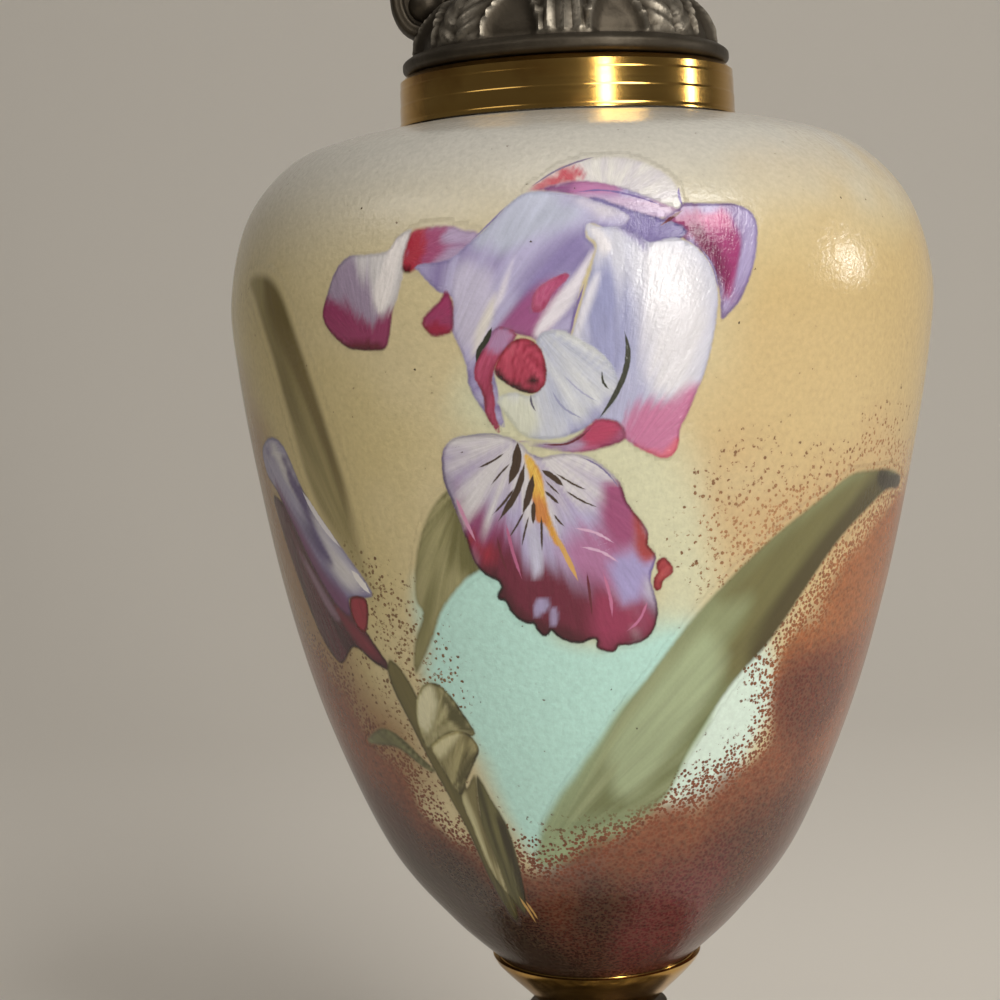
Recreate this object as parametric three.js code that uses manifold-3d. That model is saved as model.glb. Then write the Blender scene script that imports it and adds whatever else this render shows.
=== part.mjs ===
import * as THREE from "three";
import { mergeVertices } from "three/addons/utils/BufferGeometryUtils.js";
import Module from "manifold-3d";

// An ewer, in millimetres, +Z up: a painted opal-glass body held between two spun brass collars,
// on a cast spelter foot, under a cast spelter neck with a pouring mouth, and a scroll handle.
// The foot stands at z = 0, the spout points to +X, the handle is at -X and the front faces -Y.

// Room between pieces that touch, and how finely round pieces are cut
const GAP = 0.3;
const CARVED_SIDES = 56;
const PLAIN_SIDES = 48;

// Foot
const FOOT_HEIGHT = 50;
const FOOT_RADIUS = 51;
const FOOT_STEM_RADIUS = 11;
const FOOT_CARVING = 2.4;

// Lower collar: a spun brass cup that the glass stands in
const CUP_HEIGHT = 10;
const CUP_RADIUS = 19.2;
const CUP_SEAT_RADIUS = 10;
const BRASS_WALL = 1;

// Glass body
const BODY_HEIGHT = 151;
const BODY_RADIUS = 62.5;
const BODY_WALL = 3.5;
const BODY_SWAY = 1.1;
const SEAT_DEPTH = 1.6;
const LIP_HEIGHT = 6;

// Upper collar: a spun brass band over the glass's lip
const BAND_HEIGHT = 9;
const BAND_RADIUS = 30;
const BAND_TOP_RADIUS = 29.3;
const BAND_FLANGE_RADIUS = 24.5;

// Neck with its rim, leaf dome, waist and mouth
const NECK_HEIGHT = 92;
const NECK_WALL = 2.6;
const RIM_RADIUS = 29.1;
const RIM_HEIGHT = 3;
const DOME_HEIGHT = 11;
const DOME_CARVING = 1.4;
const WAIST_RADIUS = 13;
const MOUTH_RADIUS = 19;
const SPOUT_REACH = 17;
const SPOUT_RISE = 15;
const THUMB_RISE = 4;

// Handle
const HANDLE_REACH = 54;
const HANDLE_DEPTH = 6;
const HANDLE_WIDTH = 8;
const HANDLE_RISE = 0.5;
const SCROLL_DEPTH = 3;
const VOLUTE_RADIUS = 6.2;
const VOLUTE_HEIGHT = 12.2;
const BALL_RADIUS = 3.9;
const CURL_RADIUS = 5.5;
const CURL_BALL_RADIUS = 2.8;
const CURL_SEAT = 1;

// Heights, counted up from the foot's underside
const CUP_BOTTOM = FOOT_HEIGHT + GAP;
const CUP_RIM = CUP_BOTTOM + CUP_HEIGHT;
const BODY_TOP = CUP_RIM + BODY_HEIGHT;
const BAND_BOTTOM = BODY_TOP + GAP;
const BAND_TOP = BAND_BOTTOM + BAND_HEIGHT;
const NECK_BOTTOM = BAND_TOP + GAP;
const NECK_TOP = NECK_BOTTOM + NECK_HEIGHT;

const wasm = await Module();
wasm.setup();

// Materials
function finish(name, colour, roughness, metalness) {
  return new THREE.MeshStandardMaterial({ name, color: colour, roughness, metalness });
}

const spelter = () => finish("spelter", 0x3b352c, 0.55, 0.8);
const brass = () => finish("brass", 0xb98a3a, 0.22, 1);
const opalGlass = () => finish("opal glass", 0xc9b89a, 0.15, 0);

// Small sums
function smooth(from, to, value) {
  return THREE.MathUtils.smoothstep(value, from, to);
}

function bump(value, centre, width) {
  return Math.exp(-(((value - centre) / width) ** 2));
}

// A closed mesh that keeps only its places, with shared corners merged and empty faces dropped
function closed(geometry) {
  geometry.deleteAttribute("normal");
  geometry.deleteAttribute("uv");
  const merged = mergeVertices(geometry, 1e-4);
  const corners = merged.index.array;
  const kept = [];
  for (let i = 0; i < corners.length; i += 3) {
    const [a, b, c] = corners.slice(i, i + 3);
    if (a !== b && b !== c && c !== a) {
      kept.push(a, b, c);
    }
  }
  merged.setIndex(kept);
  return merged;
}

// Turns a section of [radius, height] points about Z. The optional move(place, index, angle)
// shifts each corner off the axis, where index counts along the section and angle is 0 at +X.
function turned(section, sides, move) {
  const outline = section.map(([radius, height]) => new THREE.Vector2(radius, height));
  const lathe = new THREE.LatheGeometry(outline, sides);
  lathe.rotateX(Math.PI / 2);
  const places = lathe.getAttribute("position");
  const place = new THREE.Vector3();
  for (let i = 0; move && i < places.count; i += 1) {
    const index = i % section.length;
    if (section[index][0] > 0) {
      place.fromBufferAttribute(places, i);
      move(place, index, Math.atan2(place.y, place.x));
      places.setXYZ(i, place.x, place.y, place.z);
    }
  }
  return closed(lathe);
}

// Points along a smooth line through the given [radius, height] points
function curved(points, count) {
  const line = new THREE.SplineCurve(points.map(([x, y]) => new THREE.Vector2(x, y)));
  return line.getSpacedPoints(count).map((point) => [point.x, point.y]);
}

// The same line moved inwards by a wall, walked backwards
function innerWall(outer, wall) {
  const inner = [];
  for (let i = outer.length - 1; i >= 0; i -= 1) {
    const before = outer[Math.max(i - 1, 0)];
    const after = outer[Math.min(i + 1, outer.length - 1)];
    const along = new THREE.Vector2(after[0] - before[0], after[1] - before[1]).normalize();
    inner.push([outer[i][0] - wall * along.y, outer[i][1] + wall * along.x]);
  }
  return inner;
}

function mix(low, high, share) {
  return low + (high - low) * share;
}

// Solids for joining and cutting
function solidOf(geometry) {
  const vertProperties = new Float32Array(geometry.getAttribute("position").array);
  const triVerts = new Uint32Array(geometry.index.array);
  return new wasm.Manifold(new wasm.Mesh({ numProp: 3, vertProperties, triVerts }));
}

function geometryOf(solid) {
  const mesh = solid.getMesh();
  const geometry = new THREE.BufferGeometry();
  geometry.setAttribute("position", new THREE.BufferAttribute(mesh.vertProperties, 3));
  geometry.setIndex(new THREE.BufferAttribute(mesh.triVerts, 1));
  return geometry;
}

// Cast leafwork, four times round: a ribbed stem on each quarter, a hollow panel either side of it,
// and a leaf between. climb runs from 0 at the leafwork's foot to 1 at its top.
const LEAF_REPEATS = 4;
const STEM = { place: 0, share: 0.18, rise: 0.6 };
const PANEL = { place: 0.45, share: 0.17, rise: -0.6 };
const LEAF = { place: 1, share: 0.3, rise: 1, fade: 0.5 };
const CARVING_FADE = 0.15;
const CARVING_LIFT = 0.5;

function leafwork(angle, climb) {
  const turn = (angle * LEAF_REPEATS) / (2 * Math.PI);
  const across = Math.abs(turn - Math.round(turn)) * 2;
  const ends = smooth(0, CARVING_FADE, climb) * smooth(1, 1 - CARVING_FADE, climb);
  const stem = STEM.rise * bump(across, STEM.place, STEM.share);
  const panel = PANEL.rise * bump(across, PANEL.place, PANEL.share) * Math.sin(Math.PI * climb);
  const leaf = LEAF.rise * bump(across, LEAF.place, LEAF.share) * (1 - LEAF.fade * climb);
  return ends * (stem + panel + leaf);
}

// Pushes a corner out by the carving, and up a little with it
function carve(place, angle, climb, depth) {
  if (climb > 0 && climb < 1) {
    const raised = depth * leafwork(angle, climb);
    place.x += raised * Math.cos(angle);
    place.y += raised * Math.sin(angle);
    place.z += raised * CARVING_LIFT;
  }
}

// Foot: a cast round foot with a moulded edge, a leafwork dome, a stem and a knop.
// Each point is [share of the way from stem to edge, share of the height].
const FOOT_SECTION = [
  [0.985, 0], [1, 0.024], [1, 0.08], [0.962, 0.11], [0.91, 0.13], [0.865, 0.2], [0.77, 0.3],
  [0.6, 0.4], [0.4, 0.475], [0.22, 0.54], [0.1, 0.62], [0.02, 0.72], [0, 0.79], [0.06, 0.83],
  [0.075, 0.87], [0.05, 0.91], [0.01, 0.94], [0.035, 0.97], [0.045, 1],
];
const FOOT_LEAVES_FROM = 0.13;
const FOOT_LEAVES_TO = 0.62;

function makeFoot() {
  const outline = FOOT_SECTION.map(([out, up]) => [
    mix(FOOT_STEM_RADIUS, FOOT_RADIUS, out),
    up * FOOT_HEIGHT,
  ]);
  const section = [[0, 0], ...outline, [0, FOOT_HEIGHT]];
  return turned(section, CARVED_SIDES, (place, index, angle) => {
    const climb = (place.z / FOOT_HEIGHT - FOOT_LEAVES_FROM) / (FOOT_LEAVES_TO - FOOT_LEAVES_FROM);
    carve(place, angle, climb, FOOT_CARVING);
  });
}

// Lower collar: a flared cup. Each point is [share from seat to rim, share of the height].
const CUP_SECTION = [[0, 0], [0.38, 0.36], [0.7, 0.65], [0.92, 0.87], [1, 1]];

function makeLowerCollar() {
  const outer = CUP_SECTION.map(([out, up]) => [
    mix(CUP_SEAT_RADIUS, CUP_RADIUS, out),
    CUP_BOTTOM + up * CUP_HEIGHT,
  ]);
  const inner = innerWall(outer, BRASS_WALL);
  inner[0] = [CUP_RADIUS - BRASS_WALL, CUP_RIM];
  inner[inner.length - 1] = [CUP_SEAT_RADIUS - BRASS_WALL / 2, CUP_BOTTOM + BRASS_WALL];
  return turned([[0, CUP_BOTTOM], ...outer, ...inner, [0, CUP_BOTTOM + BRASS_WALL]], PLAIN_SIDES);
}

// Glass body. Each point is [share of the largest radius, share of the height between collars].
const BODY_SECTION = [
  [0.437, 0.06], [0.603, 0.15], [0.76, 0.3], [0.867, 0.45], [0.942, 0.6],
  [0.988, 0.72], [1, 0.81], [0.94, 0.9], [0.81, 0.96], [0.66, 0.985],
];
const BODY_STEPS = 14;
const HOLLOW_STEPS = 8;

function bodyOutline(steps) {
  const seat = [CUP_RADIUS - BRASS_WALL - GAP, CUP_RIM];
  const belly = BODY_SECTION.map(([out, up]) => [out * BODY_RADIUS, CUP_RIM + up * BODY_HEIGHT]);
  return curved([seat, ...belly, [BAND_RADIUS, BODY_TOP]], steps);
}

function sway(height) {
  const up = THREE.MathUtils.clamp((height - CUP_RIM) / BODY_HEIGHT, 0, 1);
  return BODY_SWAY * Math.sin(Math.PI * up ** 3);
}

function makeBody() {
  const lipRadius = BAND_TOP_RADIUS - BRASS_WALL - GAP;
  const outline = bodyOutline(BODY_STEPS);
  const seat = [outline[0][0] - SEAT_DEPTH, CUP_RIM - SEAT_DEPTH];
  const floor = CUP_RIM - SEAT_DEPTH + BODY_WALL;
  const hollow = innerWall(bodyOutline(HOLLOW_STEPS), BODY_WALL);
  const lip = [
    [lipRadius, BODY_TOP],
    [lipRadius, BODY_TOP + LIP_HEIGHT],
    [lipRadius - BODY_WALL, BODY_TOP + LIP_HEIGHT],
    [lipRadius - BODY_WALL, BODY_TOP - BODY_WALL],
  ];
  const inside = hollow.filter(([radius, height]) => radius > lipRadius || height < BODY_TOP / 2)
    .filter(([, height]) => height > floor + GAP);
  const section = [[0, seat[1]], seat, ...outline, ...lip, ...inside, [0, floor]];
  return turned(section, PLAIN_SIDES, (place) => {
    place.x += sway(place.z);
  });
}

// Upper collar: a slightly tapered band with a rounded shoulder and a flange that the neck stands on
const BAND_BEND = [0.25, 0.72];

function makeUpperCollar() {
  const bend = [
    mix(BAND_RADIUS, BAND_TOP_RADIUS, BAND_BEND[0]),
    mix(BAND_BOTTOM, BAND_TOP, BAND_BEND[1]),
  ];
  const section = [
    [BAND_RADIUS - BRASS_WALL, BAND_BOTTOM],
    [BAND_RADIUS, BAND_BOTTOM],
    bend,
    [BAND_TOP_RADIUS, BAND_TOP - BRASS_WALL / 2],
    [BAND_TOP_RADIUS - BRASS_WALL / 2, BAND_TOP],
    [BAND_FLANGE_RADIUS, BAND_TOP],
    [BAND_FLANGE_RADIUS, BAND_TOP - BRASS_WALL],
    [BAND_TOP_RADIUS - BRASS_WALL, BAND_TOP - BRASS_WALL],
    [BAND_RADIUS - BRASS_WALL, BAND_BOTTOM],
  ];
  return turned(section, PLAIN_SIDES);
}

// Neck. Points above the dome are [share from waist to mouth radius, share of the height above it].
const DOME_SECTION = [[0.93, 0.12], [0.83, 0.27], [0.71, 0.45], [0.55, 0.66], [0.42, 0.82], [0.33, 1]];
const THROAT_SECTION = [
  [0.7, 0.05], [0.35, 0.11], [0.3, 0.14], [0.55, 0.17], [0.55, 0.2], [0.25, 0.23], [0.06, 0.3],
  [0, 0.42], [0.08, 0.55], [0.28, 0.7], [0.55, 0.84], [0.82, 0.95], [1, 1],
];

const RIM_ROUND = 0.8;
const BORE_SECTION = [[0.55, 0.85], [0.2, 0.7], [0, 0.5], [0, 0.28]];
const DOME_FOOT = NECK_BOTTOM + RIM_HEIGHT;
const DOME_TOP = DOME_FOOT + DOME_HEIGHT;

function neckOutline() {
  const rim = [
    [RIM_RADIUS - RIM_ROUND, NECK_BOTTOM],
    [RIM_RADIUS, NECK_BOTTOM + RIM_ROUND],
    [RIM_RADIUS, DOME_FOOT - RIM_ROUND],
    [RIM_RADIUS - RIM_ROUND, DOME_FOOT],
  ];
  const dome = DOME_SECTION.map(([out, up]) => [
    mix(WAIST_RADIUS, RIM_RADIUS, out),
    mix(DOME_FOOT, DOME_TOP, up),
  ]);
  const throat = THROAT_SECTION.map(([out, up]) => [
    mix(WAIST_RADIUS, MOUTH_RADIUS, out),
    mix(DOME_TOP, NECK_TOP, up),
  ]);
  return { rim, dome, throat };
}

// The mouth: drawn out and up into a spout at +X, and raised a little over the handle
const POUR_START = 0.6;
const MOUTH_PINCH = 0.18;

function pour(place, angle) {
  const lift = smooth(POUR_START, 1, (place.z - NECK_BOTTOM) / NECK_HEIGHT);
  const spout = Math.max(Math.cos(angle), 0) ** 3;
  const thumb = Math.max(-Math.cos(angle), 0) ** 4;
  place.x += SPOUT_REACH * lift * lift * spout;
  place.y *= 1 - MOUTH_PINCH * lift;
  place.z += lift * lift * (SPOUT_RISE * spout + THUMB_RISE * thumb);
}

function neckMove(outerCount) {
  return (place, index, angle) => {
    const climb = (place.z - DOME_FOOT) / DOME_HEIGHT;
    if (index < outerCount) {
      carve(place, angle, climb, DOME_CARVING);
    }
    pour(place, angle);
  };
}

function makeNeck() {
  const { rim, dome, throat } = neckOutline();
  const outer = [...rim, ...dome, ...throat];
  const bore = BORE_SECTION.map(([out, up]) => [
    mix(WAIST_RADIUS, MOUTH_RADIUS, out) - NECK_WALL,
    mix(NECK_BOTTOM, NECK_TOP, up),
  ]);
  const [, , lowDome, , highDome] = dome;
  const section = [
    ...outer,
    [MOUTH_RADIUS - NECK_WALL, NECK_TOP],
    ...bore,
    [highDome[0] - NECK_WALL, highDome[1] - NECK_WALL / 2],
    [lowDome[0] - NECK_WALL, lowDome[1] - NECK_WALL],
    [BAND_FLANGE_RADIUS, NECK_BOTTOM],
    outer[0],
  ];
  return turned(section, CARVED_SIDES, neckMove(outer.length));
}

// The neck's outside as one solid, grown by a gap, which the handle is cut back to
function neckEnvelope() {
  const { rim, dome, throat } = neckOutline();
  const outer = [...rim, ...dome, ...throat].map(([radius, height]) => [radius + GAP, height]);
  outer[0][1] -= GAP;
  outer[outer.length - 1][1] += GAP;
  const section = [[0, NECK_BOTTOM - GAP], ...outer, [0, NECK_TOP + THUMB_RISE + GAP]];
  return turned(section, CARVED_SIDES, neckMove(section.length));
}

// Handle: a scroll that curls round a ball at each end, the larger one on the dome
const HANDLE_STEPS = 44;
const HANDLE_SIDES = 8;
const EYE_SIDES = 16;
const WEB_SHARE = 0.6;
const BALL_PROUD = 0.35;
const KNOP = { place: 0.36, share: 0.03, swell: 2.4 };
const SEAT_SHARE = 0.4;
const FULL_DEPTH = { from: 0.12, by: 0.4, until: 0.7, to: 0.95 };

// The grip between the curls: [share of the way out to the reach, share of the way up]
const LOWER_GRIP = [[0.5, 0.22], [0.82, 0.4]];
const GRIP_MIDDLE = 0.62;
const UPPER_GRIP = [[0.78, 0.85], [0.4, 1.03]];

function sweptBar(path, steps, sides, sizeAt) {
  const corners = [];
  const faces = [];
  for (let i = 0; i <= steps; i += 1) {
    const share = i / steps;
    const centre = path.getPoint(share);
    const along = path.getTangent(share);
    const [depth, width] = sizeAt(share);
    for (let k = 0; k < sides; k += 1) {
      const turn = (2 * Math.PI * k) / sides;
      const out = (depth / 2) * Math.cos(turn);
      corners.push(centre.x - along.z * out, (width / 2) * Math.sin(turn), centre.z + along.x * out);
    }
  }
  const ends = [0, 1].map((share) => {
    corners.push(...path.getPoint(share).toArray());
    return corners.length / 3 - 1;
  });
  for (let k = 0; k < sides; k += 1) {
    const next = (k + 1) % sides;
    for (let i = 0; i < steps; i += 1) {
      const here = i * sides;
      const above = here + sides;
      faces.push(here + k, above + next, here + next, here + k, above + k, above + next);
    }
    const last = steps * sides;
    faces.push(ends[0], k, next, ends[1], last + next, last + k);
  }
  const geometry = new THREE.BufferGeometry();
  geometry.setAttribute("position", new THREE.Float32BufferAttribute(corners, 3));
  geometry.setIndex(faces);
  return geometry;
}

// A scroll's eye: a thin web with a ball that stands out of both its faces
function scrollEye({ x, z, radius, width }, ball) {
  const web = new THREE.CylinderGeometry(radius, radius, width * WEB_SHARE, EYE_SIDES);
  const boss = new THREE.SphereGeometry(ball, EYE_SIDES, EYE_SIDES / 2);
  boss.scale(1, (width / 2 + ball * BALL_PROUD) / ball, 1);
  return [web, boss].map((geometry) => solidOf(closed(geometry.translate(x, 0, z))));
}

// Points around an eye, clockwise as seen from the front, between two angles in degrees
const LOWER_CURL = { from: 10, to: -170, count: 5 };
const UPPER_CURL = { from: 100, to: -150, count: 6 };

function curl({ x, z, radius }, { from, to, count }) {
  const points = [];
  for (let i = 0; i < count; i += 1) {
    const turn = THREE.MathUtils.degToRad(mix(from, to, i / (count - 1)));
    points.push([x + radius * Math.cos(turn), z + radius * Math.sin(turn)]);
  }
  return points;
}

function makeHandle() {
  const lower = {
    x: -(mix(WAIST_RADIUS, RIM_RADIUS, SEAT_SHARE) + VOLUTE_RADIUS),
    z: BAND_TOP + VOLUTE_HEIGHT,
    radius: VOLUTE_RADIUS - SCROLL_DEPTH / 2,
    width: HANDLE_WIDTH,
  };
  const upper = {
    x: -(MOUTH_RADIUS + CURL_RADIUS - CURL_SEAT),
    z: NECK_TOP + THUMB_RISE + HANDLE_RISE,
    radius: CURL_RADIUS - SCROLL_DEPTH / 2,
    width: HANDLE_WIDTH,
  };
  const along = (eye) => ([out, up]) => [
    mix(eye.x, -HANDLE_REACH, out),
    mix(lower.z, upper.z, up),
  ];
  const points = [
    ...curl(lower, LOWER_CURL),
    [lower.x - VOLUTE_RADIUS, lower.z + VOLUTE_RADIUS],
    ...LOWER_GRIP.map(along(lower)),
    [HANDLE_DEPTH / 2 - HANDLE_REACH, mix(lower.z, upper.z, GRIP_MIDDLE)],
    ...UPPER_GRIP.map(along(upper)),
    ...curl(upper, UPPER_CURL),
  ];
  const path = new THREE.CatmullRomCurve3(points.map(([x, z]) => new THREE.Vector3(x, 0, z)));
  const bar = sweptBar(path, HANDLE_STEPS, HANDLE_SIDES, (share) => {
    const full = smooth(FULL_DEPTH.from, FULL_DEPTH.by, share)
      * smooth(FULL_DEPTH.to, FULL_DEPTH.until, share);
    const knop = KNOP.swell * bump(share, KNOP.place, KNOP.share);
    return [mix(SCROLL_DEPTH, HANDLE_DEPTH, full) + knop, HANDLE_WIDTH + knop];
  });
  const eyes = [...scrollEye(lower, BALL_RADIUS), ...scrollEye(upper, CURL_BALL_RADIUS)];
  const joined = eyes.reduce((whole, eye) => whole.add(eye), solidOf(bar));
  return geometryOf(joined.subtract(solidOf(neckEnvelope())));
}

// The ewer
const ewer = new THREE.Group();
const pieces = {
  foot: [makeFoot, spelter],
  lower_collar: [makeLowerCollar, brass],
  body: [makeBody, opalGlass],
  upper_collar: [makeUpperCollar, brass],
  neck: [makeNeck, spelter],
  handle: [makeHandle, spelter],
};
for (const [name, [make, material]] of Object.entries(pieces)) {
  const mesh = new THREE.Mesh(make(), material());
  mesh.name = name;
  ewer.add(mesh);
}

export default ewer;
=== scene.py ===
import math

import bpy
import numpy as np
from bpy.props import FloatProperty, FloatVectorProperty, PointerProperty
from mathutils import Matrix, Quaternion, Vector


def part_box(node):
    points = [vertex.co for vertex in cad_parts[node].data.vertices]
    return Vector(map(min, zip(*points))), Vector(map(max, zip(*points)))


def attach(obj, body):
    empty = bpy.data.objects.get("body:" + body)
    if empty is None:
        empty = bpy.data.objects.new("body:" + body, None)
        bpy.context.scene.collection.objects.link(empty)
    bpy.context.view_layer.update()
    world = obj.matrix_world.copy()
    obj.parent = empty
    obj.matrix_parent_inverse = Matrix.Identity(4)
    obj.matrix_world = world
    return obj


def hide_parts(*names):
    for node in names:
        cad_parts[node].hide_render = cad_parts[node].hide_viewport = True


bl_info = {
    "name": "Painted Ewer",
    "version": (1, 0, 0),
    "blender": (4, 5, 0),
    "location": "3D View > Sidebar > Ewer",
    "description": "Models and paints a metal-mounted opal-glass ewer around its construction model",
    "category": "Object",
}

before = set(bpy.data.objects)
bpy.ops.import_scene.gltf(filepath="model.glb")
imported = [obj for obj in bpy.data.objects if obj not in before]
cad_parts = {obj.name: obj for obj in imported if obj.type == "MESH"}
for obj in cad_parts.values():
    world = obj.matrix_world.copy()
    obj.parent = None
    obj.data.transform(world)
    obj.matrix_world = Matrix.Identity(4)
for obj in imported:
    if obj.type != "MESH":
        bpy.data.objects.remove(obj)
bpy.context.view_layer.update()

MM = 0.001


def low_high(node):
    """The lowest and highest corner of a construction piece, in millimetres."""
    low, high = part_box(node)
    return Vector(low) / MM, Vector(high) / MM


FOOT_LOW, FOOT_HIGH = low_high("foot")
CUP_LOW, CUP_HIGH = low_high("lower_collar")
BAND_LOW, BAND_HIGH = low_high("upper_collar")
NECK_LOW, NECK_HIGH = low_high("neck")
GLASS_LOW, GLASS_HIGH = low_high("body")
HANDLE_LOW, HANDLE_HIGH = low_high("handle")

# Room between neighbouring pieces, as in the construction model
GAP = 0.3

# Heights along the axis, in millimetres
CUP_RIM = CUP_HIGH.z
BODY_TOP = BAND_LOW.z - GAP
BODY_HEIGHT = BODY_TOP - CUP_RIM

# The painting is laid out on the glass in millimetres: across, counted from the front round the
# body at this radius, and up from the lower collar's rim.
PAINT_RADIUS = 60


def srgb(red, green, blue):
    """A colour given as 0 to 255 on screen, as Blender's linear values."""
    values = []
    for value in (red, green, blue):
        share = value / 255
        values.append(share / 12.92 if share <= 0.04045 else ((share + 0.055) / 1.055) ** 2.4)
    return tuple(values)


def length(label, text, millimetres):
    return FloatProperty(name=label, description=text, default=millimetres * MM, unit="LENGTH")


def colour(label, text, red, green, blue):
    return FloatVectorProperty(
        name=label, description=text, default=srgb(red, green, blue), subtype="COLOR", min=0, max=1
    )


class EwerSizes(bpy.types.PropertyGroup):
    body_radius: length("Body radius", "Largest radius of the glass", 62.5)
    body_wall: length("Glass wall", "Thickness of the glass", 3.5)
    body_sway: length("Body sway", "How far the blown shoulder leans to the spout", 1.1)
    seat_depth: length("Seat depth", "How far the glass stands in the lower collar", 1.6)
    lip_height: length("Lip height", "Height of the glass lip inside the upper collar", 6)
    brass_wall: length("Brass wall", "Thickness of the spun brass", 1)
    band_top_radius: length("Band top radius", "Radius of the upper collar under the neck", 29.3)
    band_flange_radius: length("Flange radius", "Hole in the upper collar's flange", 24.5)
    cup_seat_radius: length("Cup seat radius", "Radius of the lower collar on the foot", 10)
    stem_radius: length("Stem radius", "Thinnest radius of the foot", 11)
    foot_carving: length("Foot carving", "Depth of the leafwork on the foot", 2.4)
    dome_carving: length("Dome carving", "Depth of the leafwork on the neck's dome", 1.4)
    neck_wall: length("Neck wall", "Thickness of the cast neck", 2.6)
    waist_radius: length("Waist radius", "Thinnest radius of the neck", 13)
    mouth_radius: length("Mouth radius", "Radius of the mouth before the spout is drawn out", 19)
    enamel_height: length("Enamel height", "How far the thickest enamel stands up", 0.09)


# Small sums, on single numbers and on arrays alike
def mix(low, high, share):
    return low + (high - low) * share


def ramp(value, start, end):
    """0 at start, 1 at end, eased in between."""
    share = np.clip((np.asarray(value, float) - start) / (end - start), 0, 1)
    return share * share * (3 - 2 * share)


def bump(value, centre, width):
    return np.exp(-(((value - centre) / width) ** 2))


def smooth_line(points, count):
    """Evenly spaced points along a smooth line through the given ones."""
    points = np.asarray(points, float)
    last = len(points) - 1
    fine = []
    for i in range(last):
        p0, p1, p2, p3 = (points[min(max(k, 0), last)] for k in (i - 1, i, i + 1, i + 2))
        for t in np.linspace(0, 1, 40, endpoint=False):
            v0, v1 = (p2 - p0) / 2, (p3 - p1) / 2
            fine.append(
                (2 * p1 - 2 * p2 + v0 + v1) * t**3
                + (-3 * p1 + 3 * p2 - 2 * v0 - v1) * t**2
                + v0 * t
                + p1
            )
    fine = np.array([*fine, points[-1]])
    along = np.concatenate([[0], np.cumsum(np.linalg.norm(np.diff(fine, axis=0), axis=1))])
    wanted = np.linspace(0, along[-1], count + 1)
    return np.stack([np.interp(wanted, along, fine[:, k]) for k in range(fine.shape[1])], 1)


def inner_wall(outer, wall):
    """A line moved towards the axis by a wall, walked backwards."""
    before = np.vstack([outer[:1], outer[:-1]])
    after = np.vstack([outer[1:], outer[-1:]])
    along = after - before
    along /= np.linalg.norm(along, axis=1)[:, None]
    return (outer + wall * np.stack([-along[:, 1], along[:, 0]], 1))[::-1]


# Modelling steps
def deselect():
    if bpy.context.object and bpy.context.object.mode != "OBJECT":
        bpy.ops.object.mode_set(mode="OBJECT")
    bpy.ops.object.select_all(action="DESELECT")


def corners(piece):
    """Every corner's place in millimetres."""
    places = np.empty(len(piece.data.vertices) * 3)
    piece.data.vertices.foreach_get("co", places)
    return places.reshape(-1, 3) / MM


def move_corners(piece, places):
    piece.data.vertices.foreach_set("co", (np.asarray(places) * MM).ravel())
    piece.data.update()


def write_attribute(piece, name, values):
    """Keeps a number or a vector for every corner of a mesh, for its material to read."""
    values = np.asarray(values, float)
    kind = "FLOAT" if values.ndim == 1 else "FLOAT_VECTOR"
    made = piece.data.attributes.new(name, kind, "POINT")
    made.data.foreach_set("value" if values.ndim == 1 else "vector", values.ravel())


def read_attribute(piece, name):
    values = np.empty(len(piece.data.vertices))
    piece.data.attributes[name].data.foreach_get("value", values)
    return values


def turned_piece(name, section, turns, closed):
    """Draws a section as a ring of corners, opens it unless it is closed, and spins it round Z.

    section holds [radius, height] in millimetres. turns holds (degrees, steps) one after another,
    from the back of the ewer round past the handle, the front and the spout."""
    deselect()
    bpy.ops.mesh.primitive_circle_add(vertices=len(section), fill_type="NOTHING")
    piece = bpy.context.object
    piece.name = name
    piece.data.name = name
    start = math.pi / 2
    section = np.asarray(section, float)
    places = np.stack(
        [section[:, 0] * math.cos(start), section[:, 0] * math.sin(start), section[:, 1]], 1
    )
    move_corners(piece, places)
    write_attribute(piece, "along", np.arange(len(section)))
    bpy.ops.object.mode_set(mode="EDIT")
    if not closed:
        bpy.ops.mesh.select_all(action="DESELECT")
        bpy.ops.object.mode_set(mode="OBJECT")
        ends = {0, len(section) - 1}
        for edge in piece.data.edges:
            edge.select = set(edge.vertices) == ends
        bpy.ops.object.mode_set(mode="EDIT")
        bpy.ops.mesh.select_mode(type="EDGE")
        bpy.ops.mesh.delete(type="EDGE")
    bpy.ops.mesh.select_mode(type="VERT")
    bpy.ops.mesh.select_all(action="SELECT")
    for degrees, steps in turns:
        bpy.ops.mesh.spin(
            steps=steps, angle=math.radians(degrees), center=(0, 0, 0), axis=(0, 0, 1)
        )
    bpy.ops.mesh.select_all(action="SELECT")
    bpy.ops.mesh.remove_doubles(threshold=2e-6)
    bpy.ops.mesh.normals_make_consistent(inside=False)
    bpy.ops.object.mode_set(mode="OBJECT")
    return piece


def finish_piece(piece, node, material, angle=40):
    """Smooths a piece, gives it its material and lets it stand for its construction piece."""
    deselect()
    piece.select_set(True)
    bpy.context.view_layer.objects.active = piece
    bpy.ops.object.shade_smooth_by_angle(angle=math.radians(angle))
    piece.data.materials.clear()
    piece.data.materials.append(material)
    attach(piece, "root")
    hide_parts(node)


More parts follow.
